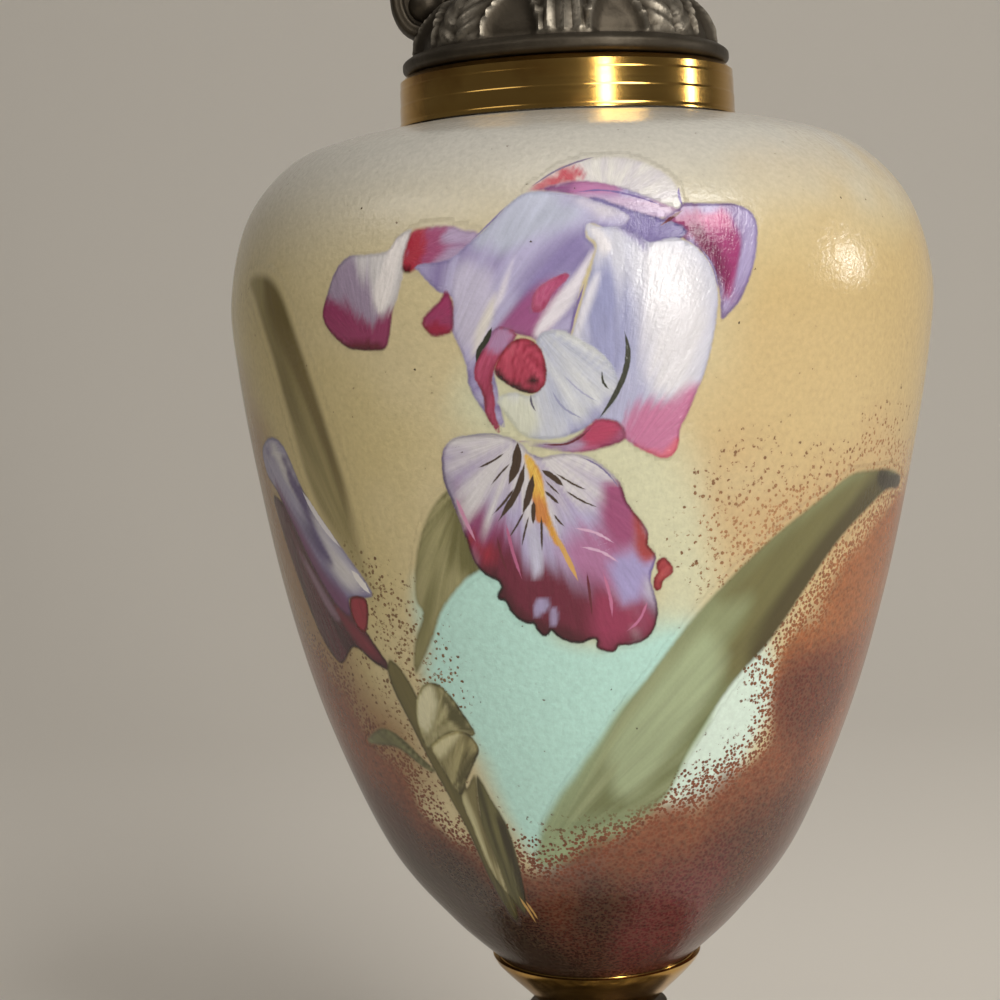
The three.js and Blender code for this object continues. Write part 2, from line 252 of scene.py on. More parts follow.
# Node trees
class Tree:
    """A short way to write a node tree: each call adds a node and returns its first output."""

    def __init__(self, tree):
        self.tree = tree

    def node(self, kind, settings=None, **inputs):
        made = self.tree.nodes.new(kind)
        for key, value in (settings or {}).items():
            setattr(made, key, value)
        for key, value in inputs.items():
            self.set(made, key.replace("_", " "), value)
        return made

    def set(self, made, key, value):
        socket = made.inputs[int(key[1:]) if key[0] == "i" and key[1:].isdigit() else key]
        if isinstance(value, bpy.types.NodeSocket):
            self.tree.links.new(value, socket)
        elif socket.type == "RGBA" and len(value) == 3:
            socket.default_value = (*value, 1)
        else:
            socket.default_value = value

    def math(self, operation, *values):
        made = self.node("ShaderNodeMath", {"operation": operation})
        for i, value in enumerate(values):
            self.set(made, f"i{i}", value)
        return made.outputs[0]

    def vector(self, operation, a, b=None, scale=None):
        made = self.node("ShaderNodeVectorMath", {"operation": operation}, i0=a)
        if b is not None:
            self.set(made, "i1", b)
        if scale is not None:
            self.set(made, "Scale", scale)
        return made.outputs["Value" if operation in ("DOT_PRODUCT", "LENGTH", "DISTANCE") else 0]

    def ease(self, value, start, end):
        made = self.node("ShaderNodeMapRange", {"interpolation_type": "SMOOTHSTEP"}, Value=value)
        self.set(made, "From Min", start)
        self.set(made, "From Max", end)
        return made.outputs[0]

    def blend(self, share, under, over, kind="MIX"):
        made = self.node("ShaderNodeMix", {"data_type": "RGBA", "blend_type": kind})
        self.set(made, "i0", share)
        self.set(made, "i6", under)
        self.set(made, "i7", over)
        return made.outputs[2]

    def attribute(self, name, output="Fac"):
        return self.node("ShaderNodeAttribute", {"attribute_name": name}).outputs[output]

    def noise(self, place, scale, detail=2, roughness=0.5):
        made = self.node("ShaderNodeTexNoise", Vector=place, Scale=scale)
        self.set(made, "Detail", detail)
        self.set(made, "Roughness", roughness)
        return made.outputs["Fac"]

    def stretched(self, place, scale):
        return self.node("ShaderNodeMapping", Vector=place, Scale=scale).outputs[0]

    def parts(self, vector):
        return self.node("ShaderNodeSeparateXYZ", Vector=vector).outputs

    def object_place(self):
        return self.node("ShaderNodeTexCoord").outputs["Object"]


def new_material(name):
    """A material with one Principled shader. Returns it, its tree and the shader."""
    material = bpy.data.materials.new(name)
    material.use_nodes = True
    shader = material.node_tree.nodes["Principled BSDF"]
    return material, Tree(material.node_tree), shader


def spelter_material():
    """Cast zinc alloy with a dark bronzed patina, rubbed to grey metal on what stands out."""
    material, tree, shader = new_material("Bronzed spelter")
    place = tree.object_place()
    cloud = tree.noise(place, 90, 4, 0.6)
    grain = tree.noise(place, 900, 3, 0.7)
    worn = tree.math("ADD", tree.attribute("worn"), tree.math("MULTIPLY", cloud, 0.5))
    worn = tree.ease(worn, 0.45, 1.15)
    worn = tree.math("MULTIPLY", worn, tree.ease(grain, 0.2, 0.55))
    dark = tree.blend(cloud, srgb(48, 42, 34), srgb(84, 76, 64))
    colour_out = tree.blend(worn, dark, srgb(150, 142, 128))
    tree.set(shader, "Base Color", colour_out)
    rough = tree.math("SUBTRACT", 0.5, tree.math("MULTIPLY", worn, 0.16))
    tree.set(shader, "Roughness", rough)
    shader.inputs["Metallic"].default_value = 0.85
    pits = tree.node("ShaderNodeBump", Height=grain, Distance=0.00012, Strength=0.6)
    waves = tree.node("ShaderNodeBump", Height=cloud, Distance=0.0006, Strength=0.5)
    tree.set(waves, "Normal", pits.outputs[0])
    tree.set(shader, "Normal", waves.outputs[0])
    return material


def brass_material():
    """Spun brass, polished, with fine turning lines and a little tarnish."""
    material, tree, shader = new_material("Spun brass")
    place = tree.object_place()
    lines = tree.noise(tree.stretched(place, (3, 3, 2600)), 1, 3, 0.65)
    broad = tree.noise(tree.stretched(place, (6, 6, 420)), 1, 2)
    cloud = tree.noise(place, 60, 4, 0.6)
    tarnish = tree.ease(cloud, 0.45, 0.75)
    bright = tree.blend(broad, srgb(196, 150, 74), srgb(226, 184, 104))
    tree.set(shader, "Base Color", tree.blend(tarnish, bright, srgb(150, 104, 48)))
    rough = tree.math("ADD", 0.1, tree.math("MULTIPLY", tarnish, 0.1))
    rough = tree.math("ADD", rough, tree.math("MULTIPLY", lines, 0.08))
    tree.set(shader, "Roughness", rough)
    shader.inputs["Metallic"].default_value = 1
    shader.inputs["Anisotropic"].default_value = 0.6
    turning = tree.node("ShaderNodeBump", Height=lines, Distance=0.00003, Strength=0.5)
    tree.set(shader, "Normal", turning.outputs[0])
    return material


# The painting. Every shape is a closed smooth line through points across and up, in millimetres.
# The ground under the flowers: [name, colour, softness, dabbing, outline], back to front
SHOULDER = (194, 190, 180)
UPPER = (202, 188, 148)
DABS = (108, 70, 46)
WASHES = [
    ["under", (198, 174, 126), 12, 1, [
        (26, 124), (50, 132), (100, 128), (100, 40), (60, 50), (44, 64), (28, 86), (20, 104),
    ]],
    ["under", (192, 162, 118), 8, 0.8, [
        (16, 88), (24, 92), (40, 92), (62, 96), (100, 90), (100, 60), (60, 70), (40, 78), (26, 76),
    ]],
    ["under", (196, 180, 130), 10, 0.9, [
        (-100, 126), (-66, 122), (-52, 112), (-36, 104), (-28, 92), (-30, 76), (-40, 60), (-44, 40),
        (-52, 20), (-100, 20),
    ]],
    ["under", (140, 102, 68), 9, 0.9, [
        (-100, 104), (-70, 98), (-62, 86), (-56, 70), (-48, 58), (-42, 50), (-46, 30), (-100, 20),
    ]],
    ["under", (180, 220, 210), 3.5, 1, [
        (-30, 76), (-20, 80), (-12, 78), (-6, 70), (2, 66), (14, 70), (20, 66), (18, 50), (4, 30),
        (-6, 25), (-14, 26), (-20, 36), (-24, 50), (-31, 60),
    ]],
    ["under", (204, 206, 176), 5, 0.8, [
        (-16, 108), (-4, 106), (8, 100), (16, 92), (20, 82), (20, 72), (14, 68), (8, 80), (-6, 94),
        (-18, 100),
    ]],
    ["under", (210, 228, 216), 3, 1, [(14, 40), (24, 36), (34, 42), (38, 52), (35, 62), (26, 60), (20, 50)]],
    ["under", (148, 164, 126), 1.2, 1, [
        (-14, 26), (-11, 34), (0, 46.7), (10, 58), (20, 58), (25, 54), (20, 45), (14, 36), (0, 28),
    ]],
    ["over", (176, 130, 88), 9, 0.42, [
        (18, 84), (26, 92), (44, 94), (64, 98), (100, 90), (100, 60), (60, 76), (42, 70), (28, 70),
    ]],
    ["over", (132, 102, 66), 6, 0.34, [
        (-46, 84), (-38, 80), (-28, 74), (-24, 62), (-28, 44), (-20, 34), (-34, 36), (-46, 52), (-56, 66),
    ]],
    ["over", (144, 84, 46), 7, 1, [
        (38, 66), (43, 71), (48, 76), (54, 81), (62, 85), (72, 87), (100, 84), (150, 70), (210, 56),
        (210, 0), (40, 0), (30, 30), (36, 50), (35.5, 57), (35, 61),
    ]],
    ["over", (124, 68, 44), 7, 1, [
        (-210, 58), (-100, 70), (-62, 62), (-50, 49), (-40, 39), (-32, 34), (-20, 31), (-12, 29),
        (-5, 31), (3, 33.5), (12, 37), (20, 40.5), (30, 44), (36, 49), (44, 58), (58, 62), (100, 58),
        (210, 58), (210, -30), (-210, -30),
    ]],
    ["over", (92, 40, 28), 6, 0.9, [(42, 54), (50, 60), (62, 56), (66, 46), (54, 42), (44, 46)]],
    ["over", (78, 38, 30), 8, 1, [
        (-210, 34), (-100, 40), (-50, 34), (-34, 28), (-20, 22), (0, 22), (16, 25), (30, 32), (50, 36),
        (100, 34), (210, 34), (210, -30), (-210, -30),
    ]],
    ["over", (50, 30, 25), 7, 1, [
        (-210, 18), (-100, 30), (-50, 26), (-34, 24), (-26, 14), (-14, 12), (-6, -6), (-100, -30),
        (-210, -30),
    ]],
    ["over", (62, 32, 26), 6, 0.6, [(-6, 18), (6, 20), (18, 18), (20, 12), (6, 6), (-6, 12)]],
    ["over", (98, 38, 40), 7, 0.8, [(14, 22), (28, 27), (40, 22), (40, 6), (20, 0), (8, 8)]],
]

# Leaves, stem, bud and petals, back to front. Each has its colour in the light and in the shade;
# how much it deepens along the brushwork, how strongly the pigment gathers at its edge, and how soft
# the edge is; where the brushwork starts and where it runs to; its outline; and softer shades on it.
OLIVE = (128, 128, 86)
DARK_OLIVE = (70, 66, 36)
WHITE = (208, 205, 208)
LAVENDER = (168, 160, 196)
VIOLET = (122, 106, 158)
MAUVE = (152, 112, 150)
MAGENTA = (142, 60, 96)
DEEP_RED = (138, 40, 54)
MAROON = (98, 32, 46)
NEAR_BLACK = (50, 16, 20)

PETALS = [
    ["tall leaf", (150, 138, 92), (124, 112, 70), (0, 0.15, 1), ((-40.5, 73), (-62, 124)), [
        (-66, 125), (-58, 125), (-52, 120), (-47, 107), (-43, 92), (-41, 80), (-40.5, 73), (-46, 79),
        (-52, 90), (-55, 102), (-58, 113), (-62, 121),
    ], [((112, 98, 58), 1.5, [(-60, 125), (-52, 120), (-47, 107), (-43, 92), (-41, 78), (-46, 95)])]],
    ["mid leaf", (152, 146, 104), (118, 114, 72), (0.4, 0.3, 0.5), ((-19, 92), (-34, 62)), [
        (-21, 91), (-26, 87), (-29.5, 80), (-31, 73), (-30, 70.2), (-33, 65), (-34, 60), (-29, 66),
        (-26, 71), (-21, 76), (-17, 79), (-18, 86),
    ], [((104, 100, 58), 2, [(-21, 92), (-17, 86), (-16, 78), (-22, 76), (-24, 82)])]],
    ["long leaf", (146, 154, 116), (112, 118, 80), (0, 0.3, 0.6), ((-14, 26), (71, 87)), [
        (-11, 33), (0, 46.7), (10, 58.3), (20, 70), (31.7, 80), (44, 87), (50, 89.6), (57, 89.8),
        (63.5, 89.4), (71, 87.5), (70, 85.8), (63.3, 85.8), (56.7, 83.3), (50, 79.6), (44, 74),
        (35, 63.3), (30, 59), (25.4, 53.8), (20, 45.8), (16, 38), (8, 34), (-2, 32),
    ], [
        ((106, 102, 62), 3, [
            (24, 72), (32, 80), (44, 87), (57, 90), (71, 88), (70, 85), (56, 82), (44, 73), (35, 63),
            (30, 59), (26, 62), (30, 70),
        ]),
        ((72, 64, 34), 2.2, [
            (32, 62), (38, 72), (46, 80), (56, 86), (64, 88), (71, 87.5), (70, 85), (56, 82.6),
            (44, 73), (36, 63),
        ]),
        ((44, 38, 24), 0.9, [(60, 89), (72, 88.6), (72, 85), (62, 85.6)]),
        ((156, 168, 132), 2.4, [(4, 48), (16, 62), (22, 66), (24, 60), (16, 48), (8, 40)]),
    ]],
    ["side leaf", OLIVE, DARK_OLIVE, (0, 0.4, 0.4), ((-35, 42.5), (-55, 46)), [
        (-55, 46), (-50, 48.6), (-46, 49.3), (-42, 48), (-38, 45), (-35, 42.5), (-38, 43), (-44, 46),
        (-50, 46),
    ], []],
    ["bud shade", (88, 40, 52), (54, 24, 32), (0.2, 0.6, 0.3), ((-64, 86), (-41, 61)), [
        (-69, 88), (-62, 86), (-56, 79), (-50, 73), (-45.5, 68), (-42.5, 64), (-40, 60.3), (-44, 61),
        (-49, 63.5), (-54, 60.5), (-57, 60.5), (-61, 64.5), (-64.5, 73), (-67.5, 81),
    ], [
        ((122, 42, 58), 1, [(-52, 70), (-46, 67), (-42, 62), (-47, 64)]),
        ((132, 104, 122), 0.6, [(-62, 80), (-57, 75), (-52, 68.6), (-53.4, 68.4), (-58.6, 74)]),
    ]],
    ["bud", (164, 160, 186), (122, 112, 150), (0.3, 0.5, 0.3), ((-70, 96), (-44, 72)), [
        (-70, 96), (-64, 98.5), (-59, 97), (-55, 90), (-50, 84.5), (-45, 79), (-41, 74),
        (-41.5, 72.5), (-47, 72), (-48, 69), (-52, 71), (-57, 77), (-61, 83), (-66, 89), (-70, 92),
    ], [
        (WHITE, 1.6, [(-64, 97), (-58, 94), (-52, 86), (-45, 79), (-42, 75), (-47, 74), (-53, 81), (-60, 90)]),
        ((96, 84, 124), 1.2, [(-60, 95), (-55, 90), (-52, 84), (-50, 78), (-54, 80), (-58, 87)]),
        ((112, 66, 104), 1.8, [(-66, 90), (-60, 84), (-54, 76), (-48, 71), (-50, 68), (-58, 74), (-66, 84)]),
    ]],
    ["bud heart", (150, 42, 58), DEEP_RED, (0, 0.9, 0.2), ((-45, 66), (-45, 73)), [
        (-47, 72), (-44.5, 72.6), (-42.5, 72), (-43, 69), (-44.5, 66.5), (-46.5, 67), (-47.5, 69.5),
    ], []],
    ["stem", (104, 96, 56), DARK_OLIVE, (0, 0.5, 0.4), ((-26, 12), (-40, 62)), [
        (-40, 62), (-37, 60), (-34, 54), (-31, 48), (-28, 40), (-24, 28), (-24, 18), (-27, 14),
        (-29, 22), (-31, 32), (-35, 42), (-38, 50), (-41, 58),
    ], []],
    ["low leaf", (104, 100, 62), (66, 62, 36), (0, 0.4, 0.4), ((-23, 14), (-25, 42)), [
        (-25, 42.5), (-22.5, 38.3), (-20, 33.3), (-19.2, 26.7), (-19.8, 20), (-22, 16), (-24.5, 19),
        (-26, 24), (-26.6, 32),
    ], [((52, 46, 26), 0.9, [(-22, 36), (-19.5, 30), (-18.6, 20), (-21, 16), (-21.4, 26), (-23, 34)])]],
    ["low light", (190, 184, 144), (136, 126, 86), (0, 0.4, 0.3), ((-26, 18), (-28, 42)), [
        (-30, 38), (-27.5, 40.5), (-25, 42.5), (-26.3, 35), (-25, 25), (-25, 20), (-28, 25),
        (-29, 31.7),
    ], [((118, 110, 72), 0.8, [(-28, 40), (-25.4, 42), (-26.2, 34), (-25.4, 26), (-26.6, 28), (-27.2, 34)])]],
    ["upper bract", (170, 164, 122), (116, 110, 70), (0.2, 0.8, 0.25), ((-33, 50), (-29, 58)), [
        (-36.5, 50.5), (-35.4, 55), (-33, 58), (-30, 58.6), (-27.5, 57), (-25, 53.5), (-23.3, 49.8),
        (-28.4, 50), (-33.2, 47.8), (-35.6, 46.6),
    ], [
        ((206, 202, 168), 0.9, [(-36.5, 52), (-34.6, 56.6), (-31.4, 58), (-31, 54.6), (-34.4, 50)]),
        ((84, 80, 48), 0.8, [(-28.6, 57), (-25, 53), (-23.6, 50.4), (-27, 51), (-28.6, 54)]),
    ]],
    ["lower bract", (160, 152, 108), (108, 100, 62), (0.2, 0.8, 0.25), ((-32, 40), (-25, 50)), [
        (-34.6, 46.5), (-33.3, 48), (-28.8, 50), (-25, 50.2), (-23, 47.5), (-25, 44.5), (-27.6, 41.4),
        (-30, 38.8), (-32.5, 41.7),
    ], [
        ((198, 192, 152), 0.8, [
            (-34.6, 47), (-33, 49), (-28.6, 50.6), (-26, 50.6), (-28.6, 48.4), (-32.6, 45.6),
        ]),
        ((82, 76, 44), 0.8, [(-30, 39), (-25, 44), (-23, 47), (-26, 46), (-30, 41.6)]),
    ]],
    ["hook", (206, 202, 202), (180, 174, 190), (0, 0.5, 0.25), ((-33, 111), (-33, 131)), [
        (-26, 131), (-28.5, 130), (-30, 128), (-34, 127.6), (-37.5, 127.5), (-40, 125.5),
        (-42, 121), (-42.8, 118.5), (-42, 116.5), (-40, 114.5), (-37.5, 113), (-34, 112.7),
        (-31, 112.8), (-29.8, 115), (-29, 118.5), (-28, 121), (-27.2, 124), (-26.6, 127),
    ], [
        ((156, 140, 162), 2, [(-43, 124), (-38, 127), (-33, 124), (-30, 119), (-30, 114), (-43, 116)]),
        (MAGENTA, 1.2, [
            (-44, 121), (-39, 120.8), (-35, 117.5), (-32, 117.5), (-28.5, 119), (-28, 111), (-40, 111),
            (-45, 117),
        ]),
        (MAROON, 0.6, [(-44, 118), (-41, 115.8), (-38, 114.2), (-32, 113.8), (-30, 111), (-40, 111)]),
        ((228, 222, 220), 0.5, [
            (-26.5, 131), (-29.5, 128.5), (-31.5, 125), (-32.7, 121), (-31, 118.2), (-29, 121),
            (-27.8, 125), (-27, 128),
        ]),
    ]],
    ["left band", (170, 150, 180), MAUVE, (0, 0.3, 0.4), ((-27, 127), (-15, 129)), [
        (-25.5, 131), (-20, 131.3), (-17.5, 130.5), (-15, 129.8), (-16, 126.5), (-20.5, 125),
        (-24.5, 125), (-26, 124.4), (-27.3, 124.8), (-27.2, 127), (-26.5, 129.5),
    ], [
        ((156, 72, 112), 1.5, [(-28, 124), (-26, 132), (-21, 132), (-20, 128), (-23, 124)]),
        ((168, 44, 62), 0.9, [(-28, 124), (-26, 132), (-23.4, 131), (-23.8, 127), (-25, 124)]),
        (NEAR_BLACK, 0.5, [(-27.6, 125), (-26.2, 125.2), (-26, 124), (-27.4, 124)]),
    ]],
    ["crest", (212, 208, 202), (196, 190, 194), (0, 0.15, 0.4), ((4, 133), (4, 141)), [
        (-7.5, 135.8), (-5, 137.8), (-2, 139.5), (2, 140.6), (7, 140.8), (11, 140), (14.5, 138),
        (16, 135.8), (16, 132.4), (13, 132.4), (8, 133.8), (3, 135.2), (-3, 135.9),
    ], [((184, 72, 84), 1, [(-8, 135.6), (-4, 138.4), (-1, 139.5), (1.2, 138.6), (0, 137), (-4, 136.2)])]],
    ["crest band", (196, 168, 192), LAVENDER, (0, 0.4, 0.3), ((-6, 136), (16, 132)), [
        (-6.5, 135.7), (-3, 136.8), (1, 137.2), (5, 136.6), (9, 135.2), (13, 133.4), (16, 131.8),
        (12, 131), (9, 131.3), (7.5, 131.6), (4, 133.5), (0, 134.9), (-3, 135.5),
    ], [
        ((134, 70, 122), 0.8, [(-7, 135.4), (-3, 137), (2, 137.6), (2, 136), (-2, 135.6)]),
        ((176, 110, 156), 1, [(0, 137), (5, 136.8), (6, 135.6), (1, 135.4)]),
    ]],
    ["right back", (164, 152, 190), (140, 118, 160), (0, 0.5, 0.25), ((20, 114), (20, 133)), [
        (10.8, 129.2), (13, 131), (15.8, 132.6), (16.3, 133.3), (20, 133.1), (24.5, 133), (27, 132),
        (28, 130.4), (27.6, 127.5), (26.4, 123.5), (24, 118.5), (22, 116.3), (20.8, 115.6),
        (20.6, 119), (19.8, 123), (17.5, 126.4), (14.5, 128.3),
    ], [
        ((152, 60, 110), 1, [
            (11, 129), (14, 131), (17, 131.6), (22, 131.2), (24, 128), (23.4, 123), (22, 118.6),
            (21, 122), (19, 126), (15.5, 128.2),
        ]),
        ((190, 100, 142), 0.8, [(19, 131), (22, 132), (23, 130), (20, 129.4)]),
        ((112, 40, 76), 1, [(15, 129.6), (18.5, 129), (21.4, 124), (21, 120), (19.6, 125), (17, 128)]),
    ]],
    ["violet back", (126, 114, 166), (104, 92, 144), (0, 0.4, 0.3), ((10, 127), (8, 134)), [
        (2, 134.6), (6, 133.4), (9, 132.2), (12, 131.2), (15, 130.2), (16.4, 129), (15, 127.6),
        (13, 126.6), (9, 126.6), (6, 128), (3, 130.6),
    ], []],
    ["left petal", (176, 170, 202), (138, 124, 170), (-0.3, 0.35, 0.25), ((-24, 104), (0, 136)), [
        (-8.2, 135.5), (-5, 135.8), (-1, 135.2), (3, 134), (7.8, 131.6), (6.5, 130), (4, 130.2),
        (1.5, 130.5), (1.2, 128.5), (2.4, 127), (1.4, 124.5), (0, 121), (-1, 117), (-2, 113.6),
        (-5, 112.5), (-8, 114), (-12, 114.5), (-13.5, 112), (-13, 107), (-12.3, 102),
        (-12.2, 100.3), (-14, 101.5), (-16, 104), (-17.3, 107), (-17.5, 110), (-18.5, 113),
        (-19.5, 116), (-19, 120), (-21.5, 121.5), (-24, 124), (-25, 125.5), (-20, 126),
        (-17, 128), (-14, 130.5), (-11, 133.5),
    ], [
        ((182, 186, 204), 2, [(-9, 136), (-1, 135), (2, 132), (-2, 129), (-10, 127), (-15, 129)]),
        ((206, 200, 210), 1.2, [(-2, 135.6), (3, 134.4), (8, 132), (4, 131), (0, 133.6)]),
        ((136, 124, 168), 2, [(-10, 122), (-3, 129.6), (2, 129.6), (2, 125), (-3, 122), (-8, 117)]),
        ((190, 184, 206), 1.6, [(-19, 124), (-14, 124.6), (-12, 119), (-16, 112), (-19, 114)]),
        ((150, 84, 130), 1, [(-13, 114), (-10, 118.6), (-6, 122), (-3, 122), (-4, 117), (-7, 113)]),
        ((216, 210, 204), 0.6, [
            (-17, 111.2), (-15, 112.6), (-13, 116), (-12, 120.8), (-13.4, 120), (-15.6, 115.6),
        ]),
        ((218, 212, 222), 0.5, [(-12.8, 118.4), (-11, 120), (-9.4, 126), (-10.8, 124), (-12, 121.6)]),
        ((222, 216, 224), 0.6, [
            (-7, 113.6), (-4.6, 115.2), (-1.2, 119.2), (1.8, 123.6), (2.2, 126.6), (0.2, 123.8),
            (-3.1, 119.8), (-5.8, 116.4),
        ]),
    ]],
    ["small tip", (156, 60, 100), MAGENTA, (0, 0.5, 0.3), ((-24, 116), (-19, 121)), [
        (-24.2, 116.6), (-23, 118.3), (-21, 120), (-20, 121.5), (-19, 119.5), (-19, 117),
        (-19.3, 115.2), (-21, 114.6), (-22.6, 114.6),
    ], [((150, 36, 64), 0.6, [(-24.6, 116.5), (-19, 115.6), (-20, 114), (-23, 114)])]],
    ["right petal", (206, 206, 218), (168, 170, 202), (-0.5, 0.4, 0.25), ((4, 92), (9, 128)), [
        (1.5, 130.6), (3.5, 130), (6.5, 130), (9, 128.6), (10.5, 127.4), (14.5, 128), (17.5, 126.4),
        (19.5, 123.5), (20.3, 119.5), (19.8, 114), (18.5, 108), (17, 104), (15.8, 101), (14.8, 99),
        (14.6, 96.3), (13.5, 94.8), (12, 94.6), (9.5, 95.7), (7.3, 97), (6, 98.3), (4.8, 100.5),
        (3.2, 100.8), (1.5, 101.2), (-1, 103), (-2, 106), (-1.8, 110), (-1.5, 113.5), (-0.5, 117),
        (0.8, 121), (2, 125), (2.6, 127.5), (1.3, 129),
    ], [
        ((150, 152, 190), 2.2, [(0, 122), (4, 124), (7, 119), (7.6, 112), (6, 107), (0, 108), (-1, 114)]),
        # A paler patch on the right petal: partly the petal's white paint, partly a painted highlight where the
        # key lamp's glare falls
        ((216, 214, 220), 2.5, [(10, 126), (16, 125), (18, 118), (16, 106), (11, 106), (10, 116)]),
        ((172, 172, 202), 1.5, [(3, 107), (8, 106), (9, 102), (6, 99.6), (2, 101)]),
        ((188, 112, 150), 1.4, [(8.4, 102.6), (13, 103), (17, 105), (16, 94), (11, 93), (6, 97)]),
        ((206, 104, 124), 0.6, [(8, 96.6), (12, 95.8), (14.4, 98), (15.6, 96), (13, 94), (8, 95)]),
        ((226, 222, 226), 0.5, [(1.4, 130.6), (3, 129.8), (4.8, 127), (3.4, 126), (2.4, 128)]),
        ((130, 118, 166), 0.7, [(5, 130.6), (9, 130), (9.6, 126.4), (7.6, 128.6)]),
        ((220, 218, 228), 0.6, [
            (-1.8, 112.6), (0, 114.4), (1.6, 118.6), (2.8, 123), (1.2, 121.6), (-0.8, 117.6),
        ]),
    ]],
    ["round petal", (208, 210, 212), (178, 182, 202), (0.2, 0.35, 0.25), ((-9, 118), (-2, 98)), [
        (-13, 104.5), (-11, 101), (-9, 98.8), (-5.5, 98.2), (-2, 98.8), (1.5, 100.5), (4, 102.5),
        (5.3, 105.5), (4.6, 108.6), (2.6, 111.2), (-0.5, 113.4), (-3.4, 114.8), (-6.4, 114),
        (-7, 110), (-6.6, 106.2), (-8, 105), (-10.5, 105.6),
    ], [
        ((204, 206, 190), 1.5, [(-14, 105), (-9, 105), (-7, 101), (-9, 98), (-12, 100)]),
        ((158, 158, 192), 1.2, [(-3, 98.6), (2, 100), (6, 105), (4, 105), (0, 101.4)]),
    ]],
    ["underside", (174, 96, 132), MAGENTA, (0.2, 0.5, 0.3), ((-10, 98), (6, 99)), [
        (-10, 98), (-6.5, 97.8), (-3.5, 97.6), (-1, 98.6), (0.8, 100.2), (2.2, 101.1), (5, 100.6),
        (6.3, 99), (6, 97.6), (3, 96.6), (-1, 96), (-5, 96.6), (-8, 97.3),
    ], [
        ((176, 160, 188), 1, [(-10, 98), (-6, 98), (-1, 96.8), (-1, 95.6), (-9, 96.6)]),
        ((172, 58, 92), 0.8, [(0.5, 100), (2.4, 101), (5, 100.4), (4.4, 98.4), (1, 97.8)]),
    ]],
    ["tail", (178, 76, 108), (134, 34, 62), (0, 0.6, 0.2), ((-12, 116), (-13, 99)), [
        (-12.4, 115.6), (-14.5, 113), (-16, 110.3), (-16.3, 108), (-15.2, 105.5), (-15, 102.5),
        (-13.9, 100.3), (-12.9, 99.4), (-12.9, 100.4), (-13.4, 102), (-13.4, 104.5), (-13.6, 107.5),
        (-12.8, 110), (-10.8, 112.5), (-9.5, 114.6),
    ], [((170, 130, 168), 0.9, [(-13, 115.6), (-10, 115), (-11, 112), (-13.4, 111.6), (-14.4, 113)])]],
    ["throat", (188, 74, 98), (140, 34, 58), (0.2, 0.7, 0.2), ((-11, 114), (-8, 105)), [
        (-13.2, 108.6), (-12.6, 110.6), (-11, 112.8), (-8.8, 113.8), (-6.6, 112.8), (-5.5, 110.3),
        (-5.4, 107.5), (-6.4, 105.8), (-8, 105.3), (-10, 106), (-12, 107.3),
    ], [
        ((52, 10, 14), 0.5, [
            (-13.6, 109), (-12.2, 107), (-9.5, 105.4), (-7.6, 104.8), (-7, 105.6), (-9.6, 106.6),
            (-11.6, 108), (-12.8, 109.6),
        ]),
        ((46, 12, 16), 0.4, [(-8.3, 107.4), (-7.4, 108), (-6.7, 107.3), (-7.3, 106.4)]),
    ]],
    ["fall", (206, 202, 206), (166, 154, 186), (0.5, 0.9, 0.2), ((-9.5, 99), (-2, 68)), [
        (-9.5, 97.5), (-12, 98.9), (-16, 99.2), (-20, 98.9), (-22, 97.5), (-22.8, 95.5), (-22.8, 92),
        (-21.8, 89), (-20.8, 86), (-19.8, 82.5), (-19, 79.5), (-18, 77.8), (-16.5, 76.6), (-15, 76),
        (-14.5, 75), (-15.3, 74), (-15.2, 73), (-14, 72.6), (-13.2, 71), (-12, 69.8), (-10.5, 69),
        (-9.3, 68.9), (-8.8, 67.9), (-7.8, 67), (-6.8, 67), (-6.3, 67.8), (-5, 66.6), (-3, 65.8),
        (-1, 65.6), (0.6, 66.2), (1.6, 66), (1.6, 64.8), (3.2, 64.1), (5, 64.1), (5.4, 65),
        (7.5, 65), (9.5, 65.4), (11.3, 66.6), (12.2, 68.8), (12.2, 71), (11.5, 73.5), (10.8, 75.8),
        (11.3, 77.8), (11.6, 79.4), (10.2, 81.2), (10.2, 83), (9, 85), (7.7, 86.6), (6.4, 88.6),
        (5.6, 91), (3.5, 93.3), (0.5, 95.4), (-3, 96), (-6.5, 95.5), (-8.5, 96.3),
    ], [
        ((172, 164, 198), 2.6, [(-14, 88), (-6, 85), (4, 88), (8, 84), (10, 76), (4, 70), (-6, 72), (-16, 78)]),
        ((136, 64, 106), 3, [(-23, 88), (-17, 87), (-12, 82), (-8, 76), (-6, 70), (-12, 68), (-20, 76)]),
        ((168, 112, 152), 2.4, [(-5, 82), (2, 83), (8, 80), (9, 75), (3, 73), (-2, 75)]),
        ((104, 30, 52), 2.8, [
            (-20, 81), (-14, 81), (-9, 79), (-4, 78.6), (0, 76), (5, 73), (9, 70), (13, 72), (14, 64),
            (4, 61), (-5, 63), (-12, 66), (-19, 74),
        ]),
        ((144, 50, 82), 2, [(1, 73.5), (6, 74), (10, 71), (11, 67), (5, 65), (1, 67)]),
        ((160, 150, 196), 1.5, [(5, 79), (10, 80), (11, 77), (8.4, 73), (6, 71), (5, 74)]),
        ((150, 72, 114), 1.5, [(3, 90), (6, 91), (8.6, 86.6), (8.6, 82), (5, 81), (2.4, 85)]),
        ((158, 60, 62), 0.8, [(7.8, 87), (10, 83.4), (12, 79.8), (9.8, 78.5), (8, 81)]),
        ((72, 20, 32), 1.3, [
            (-20.4, 80), (-17.6, 78), (-14.4, 75.5), (-12.4, 71.6), (-9, 69.6), (-5, 68.2), (-1, 67),
            (1.6, 66), (-3, 63.6), (-9, 65), (-14, 68.4), (-18.6, 74),
        ]),
        ((146, 36, 56), 1.2, [(-19, 83), (-16.6, 82.4), (-16, 80), (-18.4, 79.4)]),
        ((152, 142, 166), 0.9, [(-23.4, 96), (-22, 93), (-20.6, 87), (-22, 86), (-23.6, 91)]),
